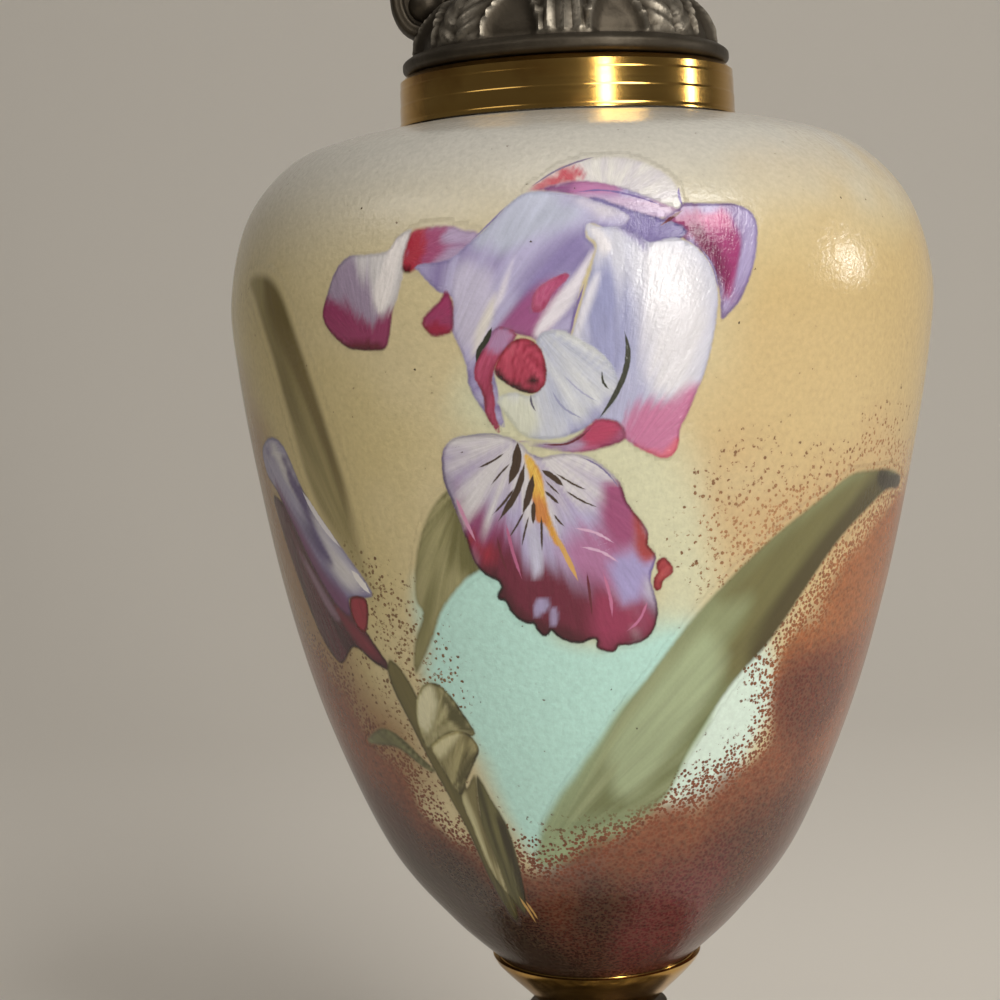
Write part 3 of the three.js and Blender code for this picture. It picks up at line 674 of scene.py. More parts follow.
        ((188, 186, 208), 0.7, [(-9.6, 84), (-8, 84.6), (-7.2, 81), (-7.6, 77.6), (-9, 76.6)]),
        ((156, 146, 182), 0.35, [(-8.9, 72.3), (-8, 73), (-6.4, 72.5), (-7, 71.2), (-8.9, 70.3)]),
        ((150, 136, 170), 0.3, [(-6.1, 71.5), (-5.1, 71), (-5.3, 69), (-6.3, 68.8)]),
    ]],
    ["fall frill", (176, 70, 72), (150, 44, 54), (0, 0.8, 0.2), ((11, 76), (15, 77)), [
        (11.6, 77.8), (12.2, 78.8), (13.2, 78.9), (14.4, 77.6), (14.7, 76.7), (14, 75.8), (13, 75.3),
        (12.8, 74), (12, 73.6), (11.3, 74.4), (11.4, 75.8), (12, 76.6),
    ], []],
    ["fringe", (186, 96, 132), (164, 58, 98), (0, 0.3, 0.2), ((-7, 118), (-2, 123)), [
        (-7.2, 118), (-6.8, 120.5), (-5, 122), (-2.5, 123.2), (-1.5, 122.8), (-3.8, 120.6),
        (-4.9, 118.8), (-5.6, 117.7), (-6.5, 117.6),
    ], []],
    ["beard", (226, 188, 88), (208, 150, 62), (0.2, 0.2, 0.3), ((-9, 97), (-2, 77)), [
        (-9.3, 96.2), (-7.8, 95), (-6.6, 92.5), (-6.2, 89), (-5.6, 86), (-4.4, 83), (-3.4, 81),
        (-5, 81.8), (-6.5, 85), (-7.8, 85.4), (-8.3, 88.5), (-8.6, 92),
    ], [((200, 128, 66), 0.7, [(-8.4, 89), (-6, 88.4), (-6.2, 85.4), (-8, 85)])]],
]

# Single strokes: the colour, the width, and the line
BROWN = (62, 44, 30)
GREEN_BLACK = (48, 50, 38)
CREAM = (214, 208, 182)

# Leaves whose root fades into the ground, and how softly
FADING = {"long leaf": 4, "tall leaf": 2}
STROKES = [
    [BROWN, 1.5, [(-10.2, 98), (-10.6, 94.5), (-12.2, 91)]],
    [BROWN, 1.1, [(-9.2, 95), (-10.2, 91.5), (-11.8, 88.6), (-14.6, 85)]],
    [BROWN, 1.2, [(-8, 93), (-8.9, 89.5), (-10.2, 86.4)]],
    [BROWN, 0.8, [(-8.1, 89), (-8.3, 86.6), (-8.4, 84.6)]],
    [BROWN, 0.4, [(-11.6, 96.8), (-14.5, 95), (-18, 93.6)]],
    [BROWN, 0.35, [(-11, 95.2), (-13.5, 92.8), (-15.7, 90.4)]],
    [BROWN, 0.45, [(-10.6, 91.4), (-13, 88.5), (-15.7, 86)]],
    [BROWN, 0.4, [(-9.3, 87.8), (-11, 85), (-13.2, 82)]],
    [BROWN, 0.4, [(-8.8, 87), (-9.8, 84), (-10.7, 80.6)]],
    [BROWN, 0.45, [(-7, 87), (-7.1, 83), (-7.2, 79.6)]],
    [BROWN, 1.0, [(-6.8, 93.6), (-5, 92.4), (-3, 90.6)]],
    [BROWN, 0.4, [(-6.5, 92.2), (-4.8, 90.4), (-3.4, 89.1)]],
    [BROWN, 0.6, [(-6.5, 90.4), (-5, 89), (-3.8, 87.8)]],
    [BROWN, 0.4, [(-5.2, 93.4), (-1.5, 91), (1.4, 89.8)]],
    [BROWN, 0.4, [(-3.6, 90.6), (-0.5, 88.5), (3, 87)]],
    [BROWN, 0.45, [(-5.2, 86.8), (-4.2, 85.4), (-3, 84.2)]],
    [(150, 146, 156), 0.35, [(-21, 98.6), (-15, 99.3), (-10.5, 98.6)]],
    [(118, 108, 150), 0.35, [(-2, 96), (2, 94), (4.6, 91.4), (6.2, 88.6)]],
    [(206, 160, 90), 0.9, [(-5, 83.6), (-3, 79.4), (-1, 75)]],
    [GREEN_BLACK, 0.9, [(6, 115), (6.7, 111), (6, 107.4), (4.2, 103.8), (1.4, 100)]],
    [GREEN_BLACK, 0.4, [(2.8, 108.8), (3, 106.6), (4.4, 105)]],
    [GREEN_BLACK, 0.9, [(-13, 116), (-14.2, 113.6), (-15.4, 112), (-16.1, 109.6)]],
    [(90, 86, 104), 0.35, [(-7.8, 105.6), (-7.8, 103.8), (-6.8, 102)]],
    [(150, 152, 182), 0.4, [(-5, 106.4), (-3, 103), (1, 100.6)]],
    [(164, 166, 192), 0.35, [(-3.4, 108.6), (-0.4, 105.4), (3.4, 103)]],
    [MAROON, 0.4, [(-7.6, 97.6), (-3, 97.4), (0, 98.8), (2.2, 101.2)]],
    [VIOLET, 0.4, [(-2, 112.6), (-1.2, 116.5), (0, 120), (1.2, 123.4)]],
    [(120, 108, 132), 0.35, [(-8.4, 135.6), (-3, 138.9), (3, 140.8), (7, 141)]],
    [(112, 94, 150), 0.4, [(-2, 135.2), (4, 135.6), (10, 134.2), (16, 131.4)]],
    [(128, 118, 160), 0.3, [(-17, 128), (-13, 131.6), (-9.6, 135)]],
    [(136, 124, 162), 0.4, [(17.6, 127), (19.8, 123.4), (20.5, 118.4)]],
    [VIOLET, 0.5, [(16.4, 136), (16, 134.4), (16.4, 132.4)]],
    [MAROON, 0.5, [(16.6, 132.4), (14.2, 131), (11.6, 129.4)]],
    [(224, 220, 224), 1.2, [(-55.5, 90), (-51, 84.6), (-46, 80)]],
    [(232, 228, 226), 1.4, [(-45, 77), (-43, 75), (-41, 73)]],
    [(196, 138, 168), 0.7, [(-21.2, 90), (-19.6, 85.6), (-17.8, 81.4)]],
    [(176, 96, 134), 0.6, [(-13, 86), (-12, 80.6), (-10.4, 75)]],
    [MAROON, 0.5, [(-14.6, 84), (-14, 80), (-12.6, 76)]],
    [(206, 168, 196), 0.5, [(-2.6, 84.4), (1.6, 83.4), (5.6, 81)]],
    [(206, 168, 196), 0.5, [(-1.8, 81.4), (2.4, 80.4), (6.4, 77.8)]],
    [(186, 110, 146), 0.6, [(2.6, 77.6), (4, 73), (4.4, 68.6)]],
    [(186, 110, 146), 0.5, [(10.6, 72.6), (9, 69), (6, 66.8)]],
    [MAROON, 0.5, [(0, 78), (0.6, 73), (1, 68.6)]],
    [(200, 160, 96), 0.8, [(-22, 20), (-20.5, 16.5), (-19.5, 13)]],
    [(200, 160, 96), 0.7, [(-20.5, 19), (-19, 16), (-18.4, 14)]],
]

# Specks baked into the glaze, and how wide they are
SPECK_WIDTH = 0.6
SPECKS = [
    (46.8, 134.2), (26.5, 123.2), (23.5, 115), (19.8, 88), (-26.2, 109.8), (-36.5, 135.2),
    (-43, 103.2), (-20, 97.8), (-19.4, 96.8), (-0.2, 136.2), (-7.2, 128.5), (60.5, 82.8),
    (-21.2, 56), (18.5, 78.2), (4, 58), (9, 51),
]


def closed_line(points, steps=6):
    """A smooth closed line through the points."""
    points = np.asarray(points, float)
    p0, p1 = np.roll(points, 1, 0), points
    p2, p3 = np.roll(points, -1, 0), np.roll(points, -2, 0)
    v0, v1 = (p2 - p0) / 2, (p3 - p1) / 2
    fine = []
    for t in np.arange(steps) / steps:
        fine.append((2 * p1 - 2 * p2 + v0 + v1) * t**3 + (3 * p2 - 3 * p1 - 2 * v0 - v1) * t**2 + v0 * t + p1)
    return np.stack(fine, 1).reshape(-1, 2)


def edge_distance(places, outline):
    """How far each place lies inside a closed outline; outside it the distance is negative."""
    nearest = np.full(len(places), np.inf)
    inside = np.zeros(len(places), bool)
    for start, end in zip(outline, np.roll(outline, -1, 0)):
        span = end - start
        share = np.clip((places - start) @ span / (span @ span), 0, 1)
        nearest = np.minimum(nearest, np.linalg.norm(places - start - share[:, None] * span, axis=1))
        crosses = (start[1] > places[:, 1]) != (end[1] > places[:, 1])
        rise = span[1] if span[1] else 1e-9
        inside ^= crosses & (places[:, 0] < start[0] + (places[:, 1] - start[1]) * span[0] / rise)
    return np.where(inside, nearest, -nearest)


def near(places, outline, margin):
    """Which places lie in an outline's box, grown by a margin."""
    low, high = np.min(outline, 0) - margin, np.max(outline, 0) + margin
    return np.all((places > low) & (places < high), axis=1)


def along_stroke(places, line):
    """How far each place lies beside a line, with a sign for the side, and its share along it."""
    lengths = np.linalg.norm(np.diff(line, axis=0), axis=1)
    before = np.concatenate([[0], np.cumsum(lengths)])
    nearest = np.full(len(places), np.inf)
    beside = np.zeros(len(places))
    share = np.zeros(len(places))
    for i, (start, end) in enumerate(zip(line[:-1], line[1:])):
        unit = (end - start) / lengths[i]
        ahead = (places - start) @ unit
        low = -np.inf if i == 0 else 0
        high = np.inf if i == len(lengths) - 1 else lengths[i]
        foot = np.clip(ahead, low, high)
        away = np.linalg.norm(places - start - foot[:, None] * unit, axis=1)
        closer = away < nearest
        side = unit[0] * (places[:, 1] - start[1]) - unit[1] * (places[:, 0] - start[0])
        nearest = np.where(closer, away, nearest)
        beside = np.where(closer, np.copysign(away, side), beside)
        share = np.where(closer, (before[i] + foot) / before[-1], share)
    return beside, share


def noise(x, y, seed):
    """Smooth noise between 0 and 1, one bump to a unit."""
    def lattice(i, j):
        value = np.sin(i * 127.1 + j * 311.7 + seed * 74.7) * 43758.5453
        return value - np.floor(value)

    i, j = np.floor(x), np.floor(y)
    u, v = ramp(x - i, 0, 1), ramp(y - j, 0, 1)
    low = mix(lattice(i, j), lattice(i + 1, j), u)
    high = mix(lattice(i, j + 1), lattice(i + 1, j + 1), u)
    return mix(low, high, v)


def blended(under, over, share):
    return under + (over - under) * np.asarray(share)[:, None]


def sway(height):
    """How far the glass leans to the spout at a height, in millimetres."""
    up = np.clip((height - CUP_RIM) / BODY_HEIGHT, 0, 1)
    return sizes().body_sway / MM * np.sin(math.pi * up**3)


def paint_place(places):
    """Where corners lie on the painting: across and up, in millimetres."""
    across = np.arctan2(places[:, 0] - sway(places[:, 2]), -places[:, 1]) * PAINT_RADIUS
    return np.stack([across, places[:, 2] - CUP_RIM], 1)


def write_ground(piece, drawn):
    """Keeps the ground's colours: what lies under, what is dabbed over it, and how thickly."""
    across, up = drawn.T
    cloud = noise(across / 14, up / 11, 1) + 0.5 * noise(across / 6, up / 5, 2) - 0.75
    cloud *= ramp(np.abs(across), math.pi * PAINT_RADIUS, 150)
    high = np.tile(srgb(*SHOULDER), (len(drawn), 1))
    under = blended(high, np.array(srgb(*UPPER)), ramp(up, 146, 122))
    colours = {"under": under, "over": np.tile(srgb(*DABS), (len(drawn), 1))}
    weight = np.zeros(len(drawn))
    for layer, pigment, softness, strength, outline in WASHES:
        line = closed_line(outline, 3)
        depth = edge_distance(drawn, line) + cloud * softness
        share = ramp(depth, -softness, softness)
        spread = share * strength if layer == "under" else share
        colours[layer] = blended(colours[layer], np.array(srgb(*pigment)), spread)
        if layer == "over":
            weight = np.maximum(weight, share * strength)
    write_attribute(piece, "ground under", colours["under"])
    write_attribute(piece, "ground over", colours["over"])
    write_attribute(piece, "ground weight", weight)


# How far outside its outline a shape keeps its colour, and how near it lets a neighbour come before
# the neighbour is put on another layer
MARGIN = 1.6
CLEARANCE = 0.7

# From this softness on, a shape's brushwork runs on past its outline
SOFT_EDGE = 0.4


def free_layer(levels, taken, chosen):
    """The lowest layer above every earlier shape that this one comes near."""
    level = 0
    for other, where in zip(levels, taken):
        if other >= level and np.any(where & chosen):
            level = other + 1
    return level


def marked(count, corners_in):
    chosen = np.zeros(count, bool)
    chosen[corners_in] = True
    return chosen


def write_layers(piece, kind, layers):
    for level, (shape, colour) in enumerate(layers):
        write_attribute(piece, f"{kind} shape {level}", shape)
        write_attribute(piece, f"{kind} colour {level}", colour)
    return len(layers)


def write_petals(piece, drawn):
    """Keeps leaves, stems and petals on as few layers as their overlaps allow, each corner with its
    depth inside the outline, the edge's strength and softness, and its colour. Returns how thick the
    enamel lies, and how many layers there are."""
    count = len(drawn)
    layers, levels, taken = [], [], []
    thickness = np.zeros(count)
    brushwork = np.column_stack([drawn * 0.4, np.zeros(count)])
    covered = np.zeros(count, bool)
    for seed, (name, light, deep, manner, brushed, outline, shades) in enumerate(PETALS):
        (tilt, edge, softness), (root, toward) = manner, brushed
        line = closed_line(outline)
        box = np.flatnonzero(near(drawn, line, MARGIN + softness))
        depth = edge_distance(drawn[box], line)
        taken.append(marked(count, box[depth > -CLEARANCE - softness]))
        level = free_layer(levels, taken, taken[-1])
        levels.append(level)
        if level == len(layers):
            layers.append([np.tile([-9.0, 0, 1], (count, 1)), np.zeros((count, 3))])
        shape, colours = layers[level]
        kept = (depth > -MARGIN - softness) & (depth > shape[box, 0])
        box, depth = box[kept], depth[kept]
        axis = np.subtract(toward, root)
        away = drawn[box] - root
        side = axis[0] * away[:, 1] - axis[1] * away[:, 0]
        turn = np.arctan2(side, away @ axis)
        reach = np.linalg.norm(away, axis=1) / np.linalg.norm(axis)
        brush = 0.6 * noise(turn * 9, reach * 1.6, seed) + 0.4 * noise(turn * 22, reach * 3, seed + 50)
        shade = np.clip(0.4 + 2.2 * (brush - 0.5) + 2 * tilt * (reach - 0.5), 0, 1)
        fading = FADING.get(name, 0) * ramp(reach, 0.36, 0.1)
        shape[box] = np.column_stack([depth - 0.6 * fading, np.full(len(box), edge), softness + fading])
        colour = blended(np.tile(srgb(*light), (len(box), 1)), np.array(srgb(*deep)), shade)
        for pigment, blur, area in shades:
            inward = edge_distance(drawn[box], closed_line(area, 4)) + (brush - 0.5) * 2.4 * blur
            colour = blended(colour, np.array(srgb(*pigment)), ramp(inward, -blur, blur))
        colours[box] = colour
        inside = depth > 0
        around = (depth > -2 * softness) & ~covered[box] & (softness >= SOFT_EDGE)
        strokes = np.column_stack([turn * 26, reach * 5, np.full(len(box), seed)])
        brushwork[box[inside | around]] = strokes[inside | around]
        covered[box[inside]] = True
        if softness < 0.5:
            raised = ramp(depth, -0.1, 0.5) * (0.5 + 0.5 * edge * bump(depth, 0.4, 0.4))
            thickness[box] = np.maximum(thickness[box], raised)
    write_attribute(piece, "brushwork", brushwork)
    return thickness, write_layers(piece, "petal", layers)


def write_strokes(piece, drawn):
    """Keeps single strokes of the brush the same way, by the distance beside each stroke and half of
    its width, which runs out thin at both ends. Returns how many layers there are."""
    count = len(drawn)
    layers, levels, taken = [], [], []
    specks = [[BROWN, SPECK_WIDTH, [(x, y), (x + 0.4, y - 0.5)]] for x, y in SPECKS]
    for pigment, width, points in STROKES + specks:
        line = smooth_line(points, 6 * len(points))
        box = np.flatnonzero(near(drawn, line, MARGIN + width))
        beside, share = along_stroke(drawn[box], line)
        half = mix(-0.3, width / 2, ramp(share, -0.15, 0.3) * ramp(share, 1.15, 0.6))
        half -= 1.5 * np.maximum(np.abs(beside) - width / 2 - 0.35, 0)
        kept = (np.abs(beside) < MARGIN) & (half > -1.6) & (share > -0.4) & (share < 1.4)
        box, beside, half = box[kept], beside[kept], half[kept]
        taken.append(marked(count, box[np.abs(beside) < CLEARANCE + width / 2]))
        level = free_layer(levels, taken, taken[-1])
        levels.append(level)
        if level == len(layers):
            layers.append([np.tile([9.0, -1.6, 0], (count, 1)), np.zeros((count, 3))])
        shape, colours = layers[level]
        closer = np.abs(beside) < np.abs(shape[box, 0])
        box, beside, half = box[closer], beside[closer], half[closer]
        shape[box, 0], shape[box, 1] = beside, half
        colours[box] = srgb(*pigment)
    return write_layers(piece, "stroke", layers)


def petal_group():
    """A layer of petals: pigment over what is under it, darker where it gathers at the edge."""
    group = bpy.data.node_groups.new("Enamel petals", "ShaderNodeTree")
    for name, kind in (("Under", "Color"), ("Shape", "Vector"), ("Colour", "Color"), ("Grain", "Float"), ("Brush", "Float")):
        group.interface.new_socket(name, in_out="INPUT", socket_type="NodeSocket" + kind)
    group.interface.new_socket("Colour", in_out="OUTPUT", socket_type="NodeSocketColor")
    tree = Tree(group)
    given = group.nodes.new("NodeGroupInput").outputs
    depth, edge, softness = tree.parts(given["Shape"])
    depth = tree.math("ADD", depth, tree.math("MULTIPLY_ADD", given["Grain"], 0.45, -0.225))
    inside = tree.ease(tree.math("DIVIDE", depth, softness), -1, 1)
    stroke = tree.math("MULTIPLY_ADD", given["Brush"], 0.44, 0.78)
    body = tree.vector("SCALE", given["Colour"], scale=stroke)
    gathered = tree.vector("MULTIPLY", body, body)
    rim = tree.math("MULTIPLY", tree.ease(depth, 0.75, 0.1), edge)
    body = tree.blend(rim, body, gathered)
    out = tree.blend(inside, given["Under"], body)
    tree.tree.links.new(out, group.nodes.new("NodeGroupOutput").inputs[0])
    return group


def stroke_group():
    """A layer of single brush strokes, which run out thin at both ends."""
    group = bpy.data.node_groups.new("Enamel strokes", "ShaderNodeTree")
    for name, kind in (("Under", "Color"), ("Shape", "Vector"), ("Colour", "Color"), ("Grain", "Float")):
        group.interface.new_socket(name, in_out="INPUT", socket_type="NodeSocket" + kind)
    group.interface.new_socket("Colour", in_out="OUTPUT", socket_type="NodeSocketColor")
    tree = Tree(group)
    given = group.nodes.new("NodeGroupInput").outputs
    beside, half, _ = tree.parts(given["Shape"])
    depth = tree.math("SUBTRACT", half, tree.math("ABSOLUTE", beside))
    depth = tree.math("ADD", depth, tree.math("MULTIPLY_ADD", given["Grain"], 0.25, -0.125))
    out = tree.blend(tree.ease(depth, -0.08, 0.14), given["Under"], given["Colour"])
    tree.tree.links.new(out, group.nodes.new("NodeGroupOutput").inputs[0])
    return group


def glass_material(petal_layers, stroke_layers):
    """Opal glass with its ground dabbed on, the flowers painted over it, and a clear glaze."""
    material, tree, shader = new_material("Painted opal glass")
    place = tree.stretched(tree.object_place(), (1 / MM, 1 / MM, 1 / MM))
    fine = tree.noise(place, 1.1, 3, 0.6)
    brush = tree.noise(tree.attribute("brushwork", "Vector"), 1, 2, 0.6)
    cells = tree.node("ShaderNodeTexVoronoi", Vector=place, Scale=1.7)
    order = tree.node("ShaderNodeSeparateColor", Color=cells.outputs["Color"]).outputs[0]
    order = tree.math("MULTIPLY_ADD", order, 0.6, tree.math("MULTIPLY_ADD", fine, 0.9, -0.3))
    dot = tree.ease(cells.outputs["Distance"], 0.68, 0.46)
    weight = tree.attribute("ground weight")
    dabbed = tree.math("MULTIPLY", tree.ease(tree.math("SUBTRACT", weight, order), -0.05, 0.07), dot)
    covered = tree.math("MAXIMUM", dabbed, tree.ease(weight, 0.7, 1.05))
    mottled = tree.math("MULTIPLY_ADD", order, 0.6, tree.math("MULTIPLY_ADD", fine, 0.7, 0.4))
    over = tree.vector("SCALE", tree.attribute("ground over", "Vector"), scale=mottled)
    clouded = tree.math("MULTIPLY_ADD", fine, 0.34, 0.82)
    under = tree.vector("SCALE", tree.attribute("ground under", "Vector"), scale=clouded)
    colour_out = tree.blend(covered, under, over)
    group = petal_group()
    for level in range(petal_layers):
        shape = tree.attribute(f"petal shape {level}", "Vector")
        colour = tree.attribute(f"petal colour {level}", "Vector")
        made = tree.node(
            "ShaderNodeGroup", {"node_tree": group}, Under=colour_out, Shape=shape, Colour=colour,
            Grain=fine, Brush=brush,
        )
        colour_out = made.outputs[0]
    group = stroke_group()
    for level in range(stroke_layers):
        shape = tree.attribute(f"stroke shape {level}", "Vector")
        colour = tree.attribute(f"stroke colour {level}", "Vector")
        made = tree.node(
            "ShaderNodeGroup", {"node_tree": group}, Under=colour_out, Shape=shape, Colour=colour, Grain=fine
        )
        colour_out = made.outputs[0]
    tree.set(shader, "Base Color", colour_out)
    shader.inputs["Roughness"].default_value = 0.18
    shader.inputs["IOR"].default_value = 1.52
    relief = tree.math("MULTIPLY_ADD", brush, 0.8, fine)
    dimples = tree.node("ShaderNodeBump", Height=relief, Distance=0.00012, Strength=0.7)
    tree.set(shader, "Normal", dimples.outputs[0])
    return material


# Sections: each point is a share of a width and a share of a height, as in the construction model
FOOT_SECTION = [
    (0.985, 0), (1, 0.024), (1, 0.08), (0.962, 0.11), (0.91, 0.13), (0.865, 0.2), (0.77, 0.3),
    (0.6, 0.4), (0.4, 0.475), (0.22, 0.54), (0.1, 0.62), (0.02, 0.72), (0, 0.79), (0.06, 0.83),
    (0.075, 0.87), (0.05, 0.91), (0.01, 0.94), (0.035, 0.97), (0.045, 1),
]
CUP_SECTION = [(0, 0), (0.38, 0.36), (0.7, 0.65), (0.92, 0.87), (1, 1)]
BODY_SECTION = [
    (0.437, 0.06), (0.603, 0.15), (0.76, 0.3), (0.867, 0.45), (0.942, 0.6),
    (0.988, 0.72), (1, 0.81), (0.94, 0.9), (0.81, 0.96), (0.66, 0.985),
]
DOME_SECTION = [
    (0.86, 0.02), (0.83, 0.1), (0.82, 0.2), (0.79, 0.34), (0.72, 0.52), (0.6, 0.7), (0.46, 0.86),
    (0.35, 1),
]
THROAT_SECTION = [
    (0.7, 0.05), (0.35, 0.11), (0.3, 0.14), (0.55, 0.17), (0.55, 0.2), (0.25, 0.23), (0.06, 0.3),
    (0, 0.42), (0.08, 0.55), (0.28, 0.7), (0.55, 0.84), (0.82, 0.95), (1, 1),
]
FOOT_LEAVES = (0.13, 0.62)
RIM_HEIGHT = 3
DOME_HEIGHT = 11
DOME_FOOT = NECK_LOW.z + RIM_HEIGHT
DOME_TOP = DOME_FOOT + DOME_HEIGHT
NECK_HEIGHT = 92
NECK_TOP = NECK_LOW.z + NECK_HEIGHT
FOOT_RADIUS = 51
BAND_RADIUS = BAND_HIGH.x
CUP_RADIUS = CUP_HIGH.x
RIM_RADIUS = -NECK_LOW.x


def sizes():
    return bpy.context.scene.ewer_sizes


def scaled(section, inner, outer, low, high):
    return [(mix(inner, outer, out), mix(low, high, up)) for out, up in section]


def body_section():
    """The glass outside, lip, inside and floor, as [radius, height]."""
    s = sizes()
    radius, wall, brass = s.body_radius / MM, s.body_wall / MM, s.brass_wall / MM
    belly = scaled(BODY_SECTION, 0, radius, CUP_RIM, BODY_TOP)
    outside = [(CUP_RADIUS - brass - GAP, CUP_RIM), *belly, (BAND_RADIUS, BODY_TOP)]
    outer = smooth_line(outside, BODY_ROWS)
    outer[:, 0] *= (GLASS_HIGH.y - s.enamel_height / MM) / outer[:, 0].max()
    floor_height = GLASS_LOW.z + wall
    inner = inner_wall(smooth_line(outside, 24), wall)
    lip = s.band_top_radius / MM - brass - GAP
    kept = [p for p in inner if (p[0] > lip or p[1] < BODY_TOP / 2) and p[1] > floor_height + GAP]
    rest = [
        (lip, BODY_TOP), (lip, GLASS_HIGH.z), (lip - wall, GLASS_HIGH.z), (lip - wall, BODY_TOP - wall),
        *kept, (0, floor_height),
    ]
    seat = s.seat_depth / MM
    return [(0, GLASS_LOW.z), (outer[0][0] - seat, GLASS_LOW.z), *outer.tolist(), *rest]


# How finely the glass is cut: rows up its outside, columns across the painted front and behind
BODY_ROWS = 233
FRONT_DEGREES = 141.6
FRONT_COLUMNS = 330
BACK_COLUMNS = 23
CARVED_COLUMNS = 240


def leafwork(angle, climb):
    """Cast leafwork four times round: three ribs on each quarter, an arched hollow panel with a raised
    border either side of them, and a folded leaf between. climb runs from 0 at its foot to 1 at its
    top."""
    turn = angle * 4 / (2 * math.pi)
    across = np.abs(turn - np.round(turn)) * 2
    ends = ramp(climb, 0, 0.08) * ramp(climb, 1, 0.85)
    pad = 0.12 * ramp(across, 0.26, 0.18)
    ribs = 0.55 * (bump(across, 0, 0.03) + bump(across, 0.12, 0.03))
    arch = np.hypot((across - 0.45) / 0.25, climb / 0.74)
    panel = -0.55 * ramp(arch, 0.95, 0.62)
    border = 0.55 * bump(arch, 1.04, 0.085) - 0.15 * bump(arch, 1.2, 0.05)
    leaf = 0.55 * ramp(across, 0.7, 0.9) * (1 - 0.35 * climb) * ramp(arch, 1.05, 1.3)
    fold = -0.35 * bump(across, 1, 0.035)
    veins = 0.16 * np.cos((across * 1.2 + climb * 0.9) * 2 * math.pi / 0.24) * ramp(arch, 1.2, 1.6)
    return ends * (pad + ribs + panel + border + leaf + fold + veins * ramp(across, 0.2, 0.3))


def casting(places):
    """Slow unevenness of a casting, between -1 and 1."""
    x, y, z = places.T / 4.7
    return (np.sin(x * 1.9 + 1.1 * y) + np.sin(1.7 * y - 2.3 * z + 1) + np.sin(2.9 * z + 1.3 * x + 2)) / 3


def carve(piece, climb_of, depth, moved=True):
    """Raises the leafwork and the casting's unevenness on a turned piece, and marks where it is worn."""
    places = corners(piece)
    angle = np.arctan2(places[:, 1], places[:, 0])
    radius = np.hypot(places[:, 0], places[:, 1])
    climb = climb_of(places[:, 2])
    raised = np.where((climb > 0) & (climb < 1) & moved, leafwork(angle, climb), 0)
    push = depth * raised + 0.1 * casting(places) * ramp(climb, -0.1, 0.1) * moved
    places[:, 0] += push * np.cos(angle) * (radius > 0)
    places[:, 1] += push * np.sin(angle) * (radius > 0)
    places[:, 2] += 0.5 * depth * raised
    write_attribute(piece, "worn", np.clip(0.25 + 0.9 * raised, 0, 1.2))
    return places, angle


class EWER_OT_body(bpy.types.Operator):
    """Turn the glass body and lay out its painting"""

    bl_idname = "ewer.body"
    bl_label = "Glass body"

    def execute(self, context):
        side = (360 - FRONT_DEGREES) / 2
        turns = [(side, BACK_COLUMNS), (FRONT_DEGREES, FRONT_COLUMNS), (side, BACK_COLUMNS)]
        piece = turned_piece("glass_body", body_section(), turns, False)
        places = corners(piece)
        places[:, 0] += sway(places[:, 2])
        drawn = paint_place(places)
        write_ground(piece, drawn)
        thickness, petal_layers = write_petals(piece, drawn)
        stroke_layers = write_strokes(piece, drawn)
        outside = (read_attribute(piece, "along") > 1) & (read_attribute(piece, "along") < BODY_ROWS + 2)
        move_corners(piece, places)
        facing = np.empty(len(places) * 3)
        piece.data.vertex_normals.foreach_get("vector", facing)
        raise_by = sizes().enamel_height / MM * thickness * outside
        move_corners(piece, places + facing.reshape(-1, 3) * raise_by[:, None])
        finish_piece(piece, "body", glass_material(petal_layers, stroke_layers), 45)
        return {"FINISHED"}


class EWER_OT_lower_collar(bpy.types.Operator):
    """Turn the spun brass cup that the glass stands in"""

    bl_idname = "ewer.lower_collar"
    bl_label = "Lower collar"

    def execute(self, context):
        s = sizes()
        wall, seat = s.brass_wall / MM, s.cup_seat_radius / MM
        low, high = CUP_LOW.z, CUP_HIGH.z
        outer = smooth_line(scaled(CUP_SECTION, seat, CUP_RADIUS, low, high), 40)
        inner = inner_wall(outer, wall)
        inner[0] = CUP_RADIUS - wall, high
        inner[-1] = seat - wall / 2, low + wall
        section = [(0, low), *outer.tolist(), *inner.tolist(), (0, low + wall)]
        piece = turned_piece("lower_brass_collar", section, [(360, 192)], False)
        finish_piece(piece, "lower_collar", brass_material())
        return {"FINISHED"}


class EWER_OT_upper_collar(bpy.types.Operator):
    """Turn the spun brass band over the glass's lip"""

    bl_idname = "ewer.upper_collar"
    bl_label = "Upper collar"

    def execute(self, context):
        s = sizes()
        wall, top, flange = s.brass_wall / MM, s.band_top_radius / MM, s.band_flange_radius / MM
        low, high = BAND_LOW.z, BAND_HIGH.z
        outside = [
            (BAND_RADIUS, low), (BAND_RADIUS, low + 0.5), (BAND_RADIUS - 0.12, low + 0.75),
            (BAND_RADIUS - 0.13, low + 0.9), (BAND_RADIUS - 0.13, low + 3.4),
            (BAND_RADIUS - 0.14, low + 3.6), (BAND_RADIUS - 0.22, low + 3.75),
            (BAND_RADIUS - 0.23, low + 3.95), (BAND_RADIUS - 0.23, low + 6.4),
            (BAND_RADIUS - 0.24, low + 6.6), (BAND_RADIUS - 0.3, low + 6.75),
            (BAND_RADIUS - 0.31, low + 6.95), (BAND_RADIUS - 0.34, high - 1), (top - 0.15, high - 0.7),
            (top - 0.5, high - 0.2), (top - 1.2, high),
        ]
        section = [
            (BAND_RADIUS - wall, low), *outside, (flange, high), (flange, high - wall),
            (top - wall, high - wall),
        ]
        piece = turned_piece("upper_brass_collar", section, [(360, 256)], True)
        finish_piece(piece, "upper_collar", brass_material(), 50)
        return {"FINISHED"}


